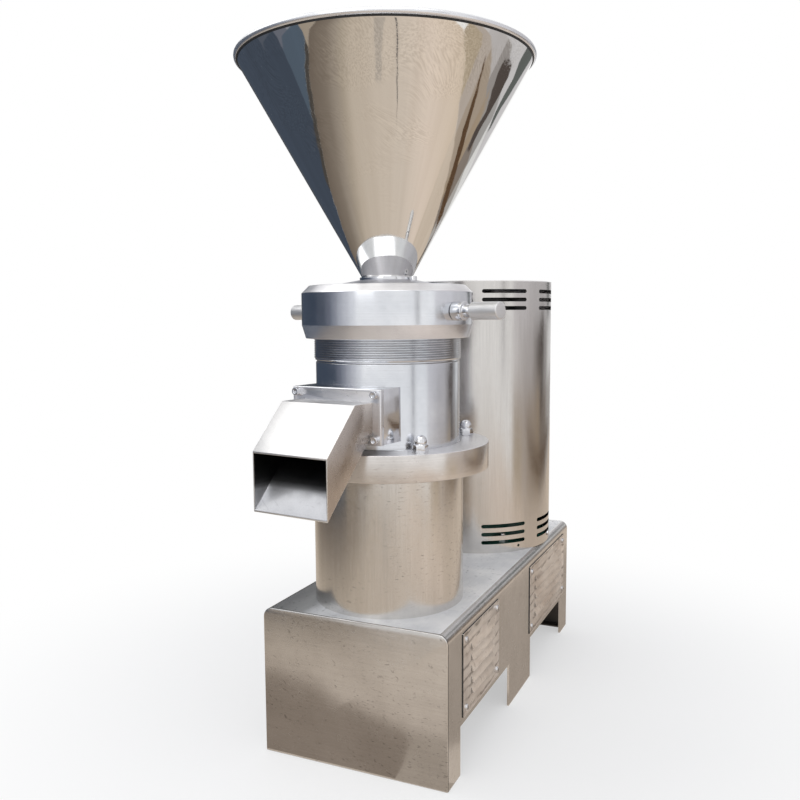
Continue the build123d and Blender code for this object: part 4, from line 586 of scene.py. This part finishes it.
def placed(origin, x_dir, y_dir):
    """Matrix of a plane in millimetres whose z is x cross y."""
    z_dir = x_dir.cross(y_dir)
    turn = Matrix((x_dir, y_dir, z_dir)).transposed().to_4x4()
    return Matrix.Translation(origin) @ turn


def hexagon(flats, turn=0.0):
    """Corners of a hexagon by its width across flats."""
    reach = flats / math.sqrt(3)
    return [(reach * math.cos(turn + math.pi / 3 * i), reach * math.sin(turn + math.pi / 3 * i)) for i in range(6)]


ORIGIN = Vector((0, 0, 0))
ALONG_X = Vector((1, 0, 0))
ALONG_Y = Vector((0, 1, 0))
FLAT = (ORIGIN, ALONG_X, ALONG_Y)


def acorn_nut():
    """M12 hexagon with chamfered corners under a domed cap."""
    flats, height, dome, dome_level = 18.0, 10.2, 8.3, 13.6
    hexa = prism("nut_hex", hexagon(flats, 0.4), FLAT, 0.0, height)
    form = [(0, 0), (9.3, 0), (10.5, 0.9), (10.5, 8.2), (8.4, height), (0, height)]
    carve(hexa, lathe("nut_form", form, ORIGIN, steps=64), "INTERSECT")
    arc = [(dome * math.cos(a), dome_level + dome * math.sin(a)) for a in (math.pi / 2 * i / 12 for i in range(12))]
    cap = [(0, 9.6), (7.6, 9.6), (7.6, 10.6), (dome, 11.4)] + arc + [(0, dome_level + dome)]
    carve(hexa, lathe("nut_cap", cap, ORIGIN, steps=48), "UNION")
    bevel(hexa, 0.25, 2)
    return hexa


def socket_screw():
    """Cylinder head with a hexagon socket."""
    form = [(0, 0), (5.0, 0), (5.0, 6.0, 0.7), (3.2, 6.0, 0.3), (2.7, 5.4), (0, 5.4)]
    head = lathe("socket_head", form, ORIGIN, steps=48)
    carve(head, prism("socket", hexagon(5.0), FLAT, 2.6, 7.0))
    return head


def pan_screw():
    """Low domed head with a cross recess."""
    head = lathe("pan_head", [(0, 0), (4.6, 0), (4.6, 0.9, 0.3), (3.4, 2.3, 0.8), (0, 2.9)], ORIGIN, steps=40)
    bar = [(-2.4, -0.5), (2.4, -0.5), (2.4, 0.5), (-2.4, 0.5)]
    for along, over in ((ALONG_Y, -ALONG_X), (ALONG_X, ALONG_Y)):
        carve(head, prism("recess", bar, (ORIGIN, along, over), 1.5, 4.0))
    return head


# Hopper and the pieces round its foot; both faces of the cone are divided at the same heights
cone_steps = (0.1, 0.25, 0.4, 0.55, 0.7, 0.85, 0.97)
cone_rise, cone_spread = HOPPER_TOP - HOPPER_LOW, CONE_TOP_R - CONE_FOOT_R
rim_at, rim_r = (194.3, 925.0), 3.7
bead = []
for step in range(19):
    a = math.radians(-95 + 285 * step / 18)
    bead.append((rim_at[0] + rim_r * math.cos(a), rim_at[1] + rim_r * math.sin(a)))
outside = [(CONE_FOOT_R + cone_spread * t, HOPPER_LOW + cone_rise * t) for t in (0.0,) + cone_steps]
inside = [(r - CONE_WALL, z) for r, z in outside]
hopper_outline = outside + [(192.6, 919.4), (193.3, HOPPER_TOP - 0.4)] + bead + [(192.6, 921.6)] + inside[::-1]
hopper = lathe("hopper_cone", hopper_outline, steps=256)
finish_piece(hopper, "mirror", "stator_carrier", ("hopper",), 40)
# Painted highlight: the rim's bead takes a paler steel
mark_faces(hopper, "rim", lambda reach, level: level > HOPPER_TOP and reach > 192.0)
# Painted shadow in the gap under the rim's bead
mark_faces(hopper, "gap_shadow", lambda reach, level: HOPPER_TOP - 2.2 < level <= HOPPER_TOP + 0.2 and reach > 192.0)

collar = lathe("hopper_collar_turned", [
    (28.0, 621.0), (32.95, 621.0), (32.95, COVER_TOP), (37.0, COVER_TOP, 0.4), (37.0, HOPPER_LOW, 0.8),
    (34.4, HOPPER_LOW), (34.4, 644.2, 0.5), (33.0, 644.2), (31.0, HOPPER_LOW), (28.0, 640.0),
])
finish_piece(collar, "bright", "stator_carrier", ("hopper_collar",))

cover = lathe("feed_cover_turned", [
    (33.0, CARRIER_TOP), (73.7, CARRIER_TOP), (73.7, 632.5, 0.8), (41.0, COVER_TOP, 1.5), (33.0, COVER_TOP),
])
finish_piece(cover, "cover", "stator_carrier", ("feed_cover",))

# Adjusting ring: deep turned collar with a polished chamfer and a tapered skirt
ring = lathe("adjusting_ring_turned", [
    (100.4, RING_LOW), (111.0, RING_LOW, 0.8), (RING_R, 579.7, 0.6), (RING_R, 622.0, 1.5), (106.2, RING_TOP, 1.5),
    (74.0, RING_TOP, 0.6), (74.0, 620.3), (100.4, 620.3),
], steps=256)
handle_at = MILL + UP * HANDLE_LEVEL
for handle, turn in (("right_handle", HANDLE_TURN), ("left_handle", HANDLE_TURN + math.pi)):
    spoke = Vector((math.cos(turn), math.sin(turn), 0))
    carve(ring, lathe("stem_hole", [(0, 95), (6.05, 95), (6.05, 121), (0, 121)], handle_at, spoke, steps=32))
    grip = lathe(handle + "_turned", [
        (0, 100.5), (6.0, 100.5), (6.0, 116.5), (12.0, 116.5, 0.4), (12.0, 132.5, 1.2), (8.6, 132.6, 0.6),
        (8.2, 138.0), (8.6, 143.6, 0.4), (11.0, 145.0, 0.6), (11.0, 186.5, 1.6), (0, 186.5),
    ], handle_at, spoke, steps=64)
    finish_piece(grip, "blasted", handle, (handle,))
    mark_sides(grip, "bright", lambda at, facing: (at - MILL).dot(spoke) < 143.7)
finish_piece(ring, "turned", "adjusting_ring", ("adjusting_ring",))
# Painted highlight: the ring's chamfer takes the paler faced steel
mark_faces(ring, "faced", lambda reach, level: reach > 106.5 and level > 622.5)
mark_faces(ring, "skirt", lambda reach, level: reach > 110.5 and level < 579.0)

# Chamber: flange, plain barrel and relief groove, then the thread as its own ridge
chamber = lathe("chamber_turned", [
    (26.0, FLANGE_SPLIT), (FLANGE_R, FLANGE_SPLIT), (FLANGE_R, FLANGE_TOP, 1.0), (BARREL_R, FLANGE_TOP, 1.0),
    (BARREL_R, 530.0, 0.8), (96.6, 531.0), (96.6, THREAD_LOW + 0.6), (98.4, THREAD_LOW + 1.6), (98.4, CHAMBER_TOP),
    (84.0, CHAMBER_TOP), (84.0, 446.0), (26.0, 446.0),
], steps=256)
carve(chamber, prism("window", [(-50, 452), (50, 452), (50, 482), (-50, 482)], (MILL, SIDE, UP), 42.0, 140.0))
finish_piece(chamber, "turned", "machine", ("chamber_body",))
# Painted highlight: the flange's top takes the paler faced steel
mark_faces(chamber, "faced", lambda reach, level: reach > 99.0 and level > FLANGE_TOP - 0.3)
mark_faces(chamber, "flange", lambda reach, level: reach > 99.0 and level <= FLANGE_TOP - 0.3)


def thread_ridge():
    """Helical ridge of the adjusting thread, closed below and above."""
    pitch, low, high, crest, root, inside = 3.0, THREAD_LOW + 1.2, CHAMBER_TOP - 0.5, 100.2, 98.7, 98.0
    form = [(0.0, root), (0.35, root), (1.25, crest), (1.9, crest), (2.8, root)]
    turns = int((high - low) / pitch) + 2
    build = bmesh.new()
    columns = []
    for step in range(ROUND + 1):
        turn = 2 * math.pi * step / ROUND
        spoke = Vector((math.cos(turn), math.sin(turn), 0))
        column = [build.verts.new((MILL + spoke * inside + UP * low) * MM)]
        for k in range(-1, turns):
            for lift, radius in form:
                height = low + k * pitch + lift + pitch * step / ROUND
                fade = min(1.0, max(0.0, (height - low) / pitch))
                level = min(high, max(low, height))
                radius = root + (radius - root) * fade
                column.append(build.verts.new((MILL + spoke * radius + UP * level) * MM))
        column.append(build.verts.new((MILL + spoke * inside + UP * high) * MM))
        columns.append(column)
    for here, there in zip(columns, columns[1:]):
        for i in range(len(here)):
            j = (i + 1) % len(here)
            build.faces.new((here[i], there[i], there[j], here[j]))
    bmesh.ops.remove_doubles(build, verts=build.verts, dist=0.005 * MM)
    bmesh.ops.dissolve_degenerate(build, edges=build.edges, dist=0.004 * MM)
    return to_mesh("adjusting_thread", build)


finish_piece(thread_ridge(), "turned", "machine", (), 25)

# Pedestal with its own half of the flange
pedestal_flange = lathe("pedestal_flange_turned", [
    (26.05, 216.0), (40.0, 216.0), (44.0, 220.0), (44.0, 376.0), (54.0, PEDESTAL_TOP), (FLANGE_R, PEDESTAL_TOP, 1.2),
    (FLANGE_R, FLANGE_SPLIT), (31.05, FLANGE_SPLIT), (31.05, 376.5), (20.0, 376.5), (20.0, 239.0), (26.05, 239.0),
], steps=256)
finish_piece(pedestal_flange, "flange", "machine", ("pedestal_flange",))
pedestal = lathe("pedestal_tube_ground", [
    (79.0, BASE_TOP), (PEDESTAL_R, BASE_TOP), (PEDESTAL_R, PEDESTAL_TOP), (95.0, PEDESTAL_TOP), (95.0, 214.0),
    (79.0, 214.0),
], steps=256)
finish_piece(pedestal, "tube", "machine", ("pedestal_tube",))

# Fasteners
nut, screw, pan = acorn_nut(), socket_screw(), pan_screw()
nuts = repeat("flange_acorn_nuts", "circle", nut, "bright", Matrix.Translation(MILL + UP * FLANGE_TOP),
              Radius=118.0 * MM, Count=4, First_turn=math.pi / 4)
finish_piece(nuts, "bright", "machine", ("acorn_nuts",))
screws = repeat("chute_socket_screws", "grid", screw, "bright", placed(MILL + OUT * 121.0 + UP * 467.5, SIDE, UP),
                Length=121.0 * MM, Width=56.0 * MM, Columns=2, Rows=2)
finish_piece(screws, "bright", "machine", ("chute_screws",))
# The first group stands for the node that holds the screws of both vent plates
for name, start, length, stands_for in (("front", -65.0, 150.0, ("vent_screws",)), ("rear", 249.0, 231.0, ())):
    middle = Vector((134.2, MILL.y + start + length / 2, 129.5))
    heads = repeat(name + "_vent_screws", "grid", pan, "bright", placed(middle, ALONG_Y, UP),
                   Length=(length - 22.0) * MM, Width=91.0 * MM, Columns=2, Rows=2)
    finish_piece(heads, "bright", "machine", stands_for)
for source in (nut, screw, pan):
    bpy.data.objects.remove(source)


def inside_chute(at, facing):
    """Whether a face of the chute looks at the middle of its passage."""
    across = (at - MILL).dot(SIDE)
    if abs(facing.dot(SIDE)) > 0.7:
        return abs(across) < 55.4
    return facing.z < -0.3 and at.z > 431.5 or facing.z > 0.3 and at.z < 429.0


# Folded and welded sheet work, from the solids with rounded edges, and tests for the faces that have another finish
# Faces picked here take painted light: highlight on the cover's top, shade inside the covers and on the chute
MARKS = {
    "base_cover": {
        "top": lambda at, facing: at.z > BASE_TOP - 0.2,
        "inside": lambda at, facing: facing.dot(at - Vector((0, at.y, 100))) < 0 and at.z < BASE_TOP - 1.5,
    },
    "front_panel": {"inside": lambda at, facing: facing.y > 0.7},
    "rear_panel": {"inside": lambda at, facing: facing.y < -0.7},
    "chute_duct": {"chute_side": lambda at, facing: abs(facing.dot(SIDE)) > 0.7, "chute_inside": inside_chute},
}
# Painted shadow on the vent plates' edges, where they stand off the cover
for name in ("front_vent_plate", "rear_vent_plate"):
    MARKS[name] = {"gap_shadow": lambda at, facing: (abs(facing.y) > 0.8 or facing.z > 0.8) and at.x < 134.4}

for node, look, slot_name, width in (
    ("base_cover", "base", "brushed_sheet", 0.0),
    ("front_panel", "base", "brushed_sheet", 1.2),
    ("rear_panel", "base", "brushed_sheet", 1.2),
    ("front_vent_plate", "vent", "vent_sheet", 0.4),
    ("rear_vent_plate", "vent", "vent_sheet", 0.4),
    ("outlet_block", "bright", "polished_steel", 0.6),
    ("outlet_gasket", "rubber", "gasket_rubber", 0.0),
    ("chute_flange", "plate", "brushed_sheet", 0.4),
    ("chute_duct", "chute", "brushed_sheet", 0.3),
    ("shroud_lid", "faced", "brushed_sheet", 0.0),
    ("shroud_screws", "bright", "polished_steel", 0.3),
    ("cable_gland", "nylon", "gland_plastic", 0.3),
    ("lock_screw", "bright", "bearing_steel", 0.3),
):
    sheet = dress(node, look, "stator_carrier" if node == "lock_screw" else "machine", width)
    for other_look, chosen in MARKS.get(node, {}).items():
        mark_sides(sheet, other_look, chosen)

# Motor shroud: rolled sheet with true round normals, so that its slots don't disturb the reflections
shroud = copy_of("motor_shroud", "motor_shroud_rolled")
finish_piece(shroud, "shroud", "machine", ("motor_shroud",))
normals = []
for face in shroud.data.polygons:
    for index in face.vertices:
        spoke = shroud.data.vertices[index].co / MM - MOTOR
        spoke.z = 0.0
        spoke.normalize()
        facing = face.normal.dot(spoke)
        normals.append(tuple(spoke * math.copysign(1.0, facing)) if abs(facing) > 0.7 else tuple(face.normal))
shroud.data.normals_split_custom_set(normals)

# Pieces that keep their own solids and only take a finish
for look, names in {
    "primer": ("bed_plate",),
    "bright": ("pedestal_bolts", "flange_studs", "motor_studs", "guide_pins", "seal_head", "mill_shaft", "motor_shaft",
               "upper_bearing_outer", "lower_bearing_outer", "upper_bearing_inner", "lower_bearing_inner",
               "bearing_balls"),
    "turned": ("upper_bearing_cap", "lower_bearing_cap", "stator_carrier", "throat_sleeve", "discharge_impeller"),
    "hardened": ("lift_spring", "stator", "rotor", "feed_screw"),
    "rubber": ("drive_belts", "carrier_seal_ring"),
    "ceramic": ("seal_seat",),
    "green": ("motor_frame", "motor_flange_shield", "terminal_box"),
    "black": ("fan_cowl", "motor_top_shield"),
    "iron": ("mill_pulley", "motor_pulley", "motor_core"),
    "nylon": ("motor_fan",),
}.items():
    for name in names:
        nodes[name].data.materials.clear()
        nodes[name].data.materials.append(finish[look])


# Studio: reflector cards, white floor and world, soft lamps and the camera, which looks along YAW
YAW = math.radians(24.32)
TOWARD = Vector((math.sin(YAW), -math.cos(YAW), 0.0))
RIGHT = Vector((math.cos(YAW), math.sin(YAW), 0.0))


def card(name, code, corners):
    """Reflector card that only reflections show; corners are (toward camera, right, up) from the mill axis."""
    build = bmesh.new()
    build.faces.new([build.verts.new((MILL + TOWARD * t + RIGHT * r + UP * z) * MM) for t, r, z in corners])
    made = from_build(name, build)
    glow = bpy.data.materials.new(name + "_glow")
    glow.use_nodes = True
    glow.node_tree.nodes.clear()
    light = add(glow.node_tree, "ShaderNodeEmission", {"Color": colour(code), "Strength": 1.0})
    add(glow.node_tree, "ShaderNodeOutputMaterial", {"Surface": light.outputs[0]})
    made.data.materials.append(glow)
    made.visible_camera = made.visible_diffuse = made.visible_shadow = False


def box(first, last, low, high):
    """Outline of an upright card between two places and two levels."""
    return [(first, low), (first, high), (last, high), (last, low)]


# Ground that the steel mirrors: warm, darker to the left, lighter to the right, in the shade close to the machine
for name, code, level, outline in (
    ("ground_card", "#d0c3b5", 1, [(-3500, -1430), (2400, -1430), (2400, 1500), (-3500, 1500)]),
    ("right_ground_card", "#aca094", 2, [(190, 150), (330, 560), (-900, 700), (-900, 150)]),
    ("shade_card", "#94877b", 3, [
        (60, -420), (120, -400), (158, -334), (172, -300), (180, -260), (184, -180), (188, -110), (198, -57),
        (208, -34), (196, -14), (150, 4), (110, 10), (-200, 10), (-300, -300),
    ]),
    ("shade_edge_card", "#b4a89b", 2, [(190, -70), (222, -8), (232, 16), (262, 74), (180, 120), (100, 40)]),
    ("right_back_ground_card", "#d5c6b6", 2, [(60, 700), (60, 1500), (-3500, 1500), (-3500, 700)]),
    ("far_ground_card", "#eeebe8", 2, [(1850, -1430), (3600, -1430), (3600, 1500), (1850, 1500)]),
    ("band_card", "#bbb1a7", 2, [(1010, -150), (1500, -190), (1500, 30), (1010, -60)]),
    ("streak_card", "#4b4b4f", 3, [(930, 207), (1500, 198), (1500, 230), (930, 219)]),
    ("streak_tail_card", "#9d9187", 3, [(860, 209), (930, 207), (930, 219), (860, 215)]),
):
    card(name, code, [(t, r, level) for t, r in outline])

# The ground's tone changes over the 3 m from left to right
ground = bpy.data.materials["ground_card_glow"].node_tree
across = vector_calc(ground, "DOT_PRODUCT", add(ground, "ShaderNodeTexCoord").outputs["Object"], RIGHT)
tones = ramp(ground, remap(ground, across, (-1.5, 1.5)), [(spot, colour(code)) for spot, code in (
    (0.023, "#776c62"), (0.12, "#887d72"), (0.18, "#a1968a"), (0.233, "#b3a798"), (0.28, "#c6b9aa"),
    (0.43, "#d2c5b7"), (0.6, "#d9ccbf"), (0.75, "#e6d6c8"), (1.0, "#ddccb9"),
)])
ground.links.new(tones, ground.nodes["Emission"].inputs["Color"])

# Upright cards on both sides and behind, as (toward, up) outlines at a distance to the right
for name, code, at, outline in (
    ("left_near_card", "#566372", -1430, box(700, 120, 60, 330)),
    ("left_far_card", "#454e5c", -1430, [(120, 2), (120, 1100), (-3200, 2500), (-3200, 2)]),
    ("left_edge_card", "#4d4945", -1429, box(700, -400, 2, 60)),
    ("left_foot_card", "#a89c8e", -1430, box(1500, 700, 2, 330)),
    ("left_ring_card", "#575d69", -1429, box(120, -300, 520, 900)),
    ("left_step_1_card", "#6e727e", -1430, box(400, 120, 330, 1200)),
    ("left_step_2_card", "#8f939d", -1430, box(650, 400, 330, 1200)),
    ("left_step_3_card", "#b4b6bd", -1430, box(910, 650, 330, 1200)),
    ("left_step_4_card", "#cccdd3", -1430, box(1250, 910, 330, 1200)),
    ("left_step_5_card", "#e6e7eb", -1430, box(1700, 1250, 330, 1200)),
    ("right_foot_card", "#b9aa95", 1500, box(760, 250, 2, 240)),
    ("right_low_card", "#bcb1a8", 1500, [(760, 240), (760, 340), (0, 340), (0, 2), (250, 2), (250, 240)]),
    ("right_back_card", "#aea091", 1500, box(0, -480, 2, 340)),
    ("right_tan_card", "#ab9a86", 1500, box(-480, -700, 2, 380)),
    ("right_far_card", "#8c827a", 1500, box(-700, -1350, 2, 340)),
    ("right_end_card", "#b4b1ae", 1500, box(-1350, -3500, 2, 340)),
    ("right_front_card", "#e2dfe0", 1500, box(760, 420, 340, 560)),
    ("right_mid_1_card", "#d2cfcf", 1500, box(420, 220, 340, 560)),
    ("right_mid_2_card", "#c3bfbf", 1500, box(220, -300, 340, 560)),
    ("right_mid_3_card", "#a09b99", 1500, box(-300, -900, 340, 560)),
    ("right_mid_4_card", "#a9a7a6", 1500, box(-900, -1450, 340, 560)),
    ("right_mid_5_card", "#e4e4e4", 1500, box(-1450, -3500, 340, 560)),
    ("right_high_1_card", "#dedcdf", 1500, box(760, -100, 560, 2600)),
    ("right_high_2_card", "#d0ced0", 1500, box(-100, -3500, 560, 2600)),
    ("right_line_card", "#544c48", 1498, [
        (-470, 490), (-480, 430), (-575, 405), (-790, 400), (-700, 298), (-780, 246), (-985, 300), (-930, 372),
        (-1020, 477), (-1030, 550), (-1010, 605), (-860, 610), (-640, 560),
    ]),
    ("right_moss_card", "#646866", 1498, [
        (-1170, 1200), (-1170, 730), (-1380, 720), (-1370, 650), (-1420, 590), (-1760, 590), (-1950, 660),
        (-1850, 730), (-2100, 870), (-2200, 980), (-2400, 1200),
    ]),
    ("brown_strip_card", "#5f4936", 1497, [
        (60, 290), (-120, 222), (-300, 190), (-640, 150), (-1200, 150), (-1850, 190), (-1850, 110), (-1200, 60),
        (-680, 45), (-380, 80), (-190, 112), (20, 236),
    ]),
):
    card(name, code, [(t, at, u) for t, u in outline])
card("post_card", "#a3a2a4", [(5788, 5283, 2), (6212, 4777, 2), (6212, 4777, 6000), (5788, 5283, 6000)])
card("back_card", "#4d5259", [(-3000, -1430, 2), (-3000, -330, 2), (-3000, -330, 2400), (-3000, -1430, 2400)])


def seen_rays(tree):
    """1 for rays that the camera, a reflection or a clear material sends, 0 for the rest."""
    path = add(tree, "ShaderNodeLightPath").outputs
    seen = calc(tree, "MAXIMUM", path["Is Camera Ray"], path["Is Glossy Ray"])
    return calc(tree, "MAXIMUM", seen, path["Is Transmission Ray"])


# White floor that keeps the object's shadow and melts into the white behind it
floor_mesh = bpy.data.meshes.new("floor")
floor_mesh.from_pydata([(-12, -12, 0), (12, -12, 0), (12, 12, 0), (-12, 12, 0)], [], [(0, 1, 2, 3)])
floor = new_object("floor", floor_mesh)
floor_material, tree, shader = new_material("pale_floor")
shader.inputs["Base Color"].default_value = colour("#f7f7f7")
shader.inputs["Roughness"].default_value = 0.9
shader.inputs["Specular IOR Level"].default_value = 0.0
floor_reach = vector_calc(tree, "LENGTH", add(tree, "ShaderNodeTexCoord").outputs["Object"])
fade = remap(tree, floor_reach, (0.3, 0.95), (0.5, 1.0), interpolation_type="SMOOTHSTEP")
share = calc(tree, "MULTIPLY", seen_rays(tree), fade)
white = add(tree, "ShaderNodeEmission", {"Color": (1, 1, 1, 1), "Strength": 1.0}).outputs[0]
mixed = add(tree, "ShaderNodeMixShader", {0: share, 1: shader.outputs[0], 2: white}).outputs[0]
tree.links.new(mixed, tree.nodes["Material Output"].inputs[0])
floor_mesh.materials.append(floor_material)

world = bpy.data.worlds.new("studio")
bpy.context.scene.world = world
world.use_nodes = True
tree = world.node_tree
tree.nodes.clear()
soft_light = add(tree, "ShaderNodeBackground", {"Color": colour("#f4f6fa"), "Strength": 0.75}).outputs[0]
white = add(tree, "ShaderNodeBackground", {"Color": (1, 1, 1, 1), "Strength": 1.0}).outputs[0]
mixed = add(tree, "ShaderNodeMixShader", {0: seen_rays(tree), 1: soft_light, 2: white}).outputs[0]
add(tree, "ShaderNodeOutputWorld", {"Surface": mixed})


def lamp(name, place, aim, size, power):
    """Soft white area lamp aimed at a point; places and size in metres, power in watts."""
    data = bpy.data.lights.new(name, "AREA")
    data.shape = "SQUARE"
    data.size = size
    data.energy = power
    made = new_object(name, data)
    made.location = place
    made.rotation_mode = "QUATERNION"
    made.rotation_quaternion = (Vector(aim) - Vector(place)).to_track_quat("-Z", "Y")


lamp("overhead_lamp", (0.2, -0.9, 2.5), (0, -0.1, 0.4), 1.6, 11.0)
lamp("key_lamp", (-1.5, -0.5, 2.2), (0, -0.2, 0.45), 1.1, 6.0)
lamp("front_lamp", (-0.2, -2.6, 1.5), (0, 0, 0.5), 1.2, 5.0)

# Camera at the photo's place, by its distance from the mill axis and its level; the photo's focal length is in pixels
PITCH = math.radians(5.74)
ROLL = math.radians(-0.38)
AZIMUTH = math.radians(25.13)
CAMERA_REACH = 1158.4
CAMERA_LEVEL = 592.3
FOCAL_PIXELS = 844.86
PICTURE_PIXELS = 800.0
SENSOR = 36.0
camera_data = bpy.data.cameras.new("photo_camera")
camera_data.sensor_width = SENSOR
camera_data.lens = FOCAL_PIXELS / PICTURE_PIXELS * SENSOR
camera = new_object("photo_camera", camera_data)
forward = Vector((-math.sin(YAW) * math.cos(PITCH), math.cos(YAW) * math.cos(PITCH), -math.sin(PITCH)))
level_up = RIGHT.cross(forward)
right = RIGHT * math.cos(ROLL) + level_up * math.sin(ROLL)
upward = level_up * math.cos(ROLL) - RIGHT * math.sin(ROLL)
place = Vector((math.sin(AZIMUTH) * CAMERA_REACH, MILL.y - math.cos(AZIMUTH) * CAMERA_REACH, CAMERA_LEVEL)) * MM
turn = Matrix((right, upward, -forward)).transposed()
camera.matrix_world = Matrix.Translation(place) @ turn.to_4x4()
bpy.context.scene.camera = camera
bpy.context.scene.view_settings.view_transform = "Standard"

# Meshes that the modifiers left without a user
for item in list(bpy.data.meshes):
    if item.users == 0:
        bpy.data.meshes.remove(item)
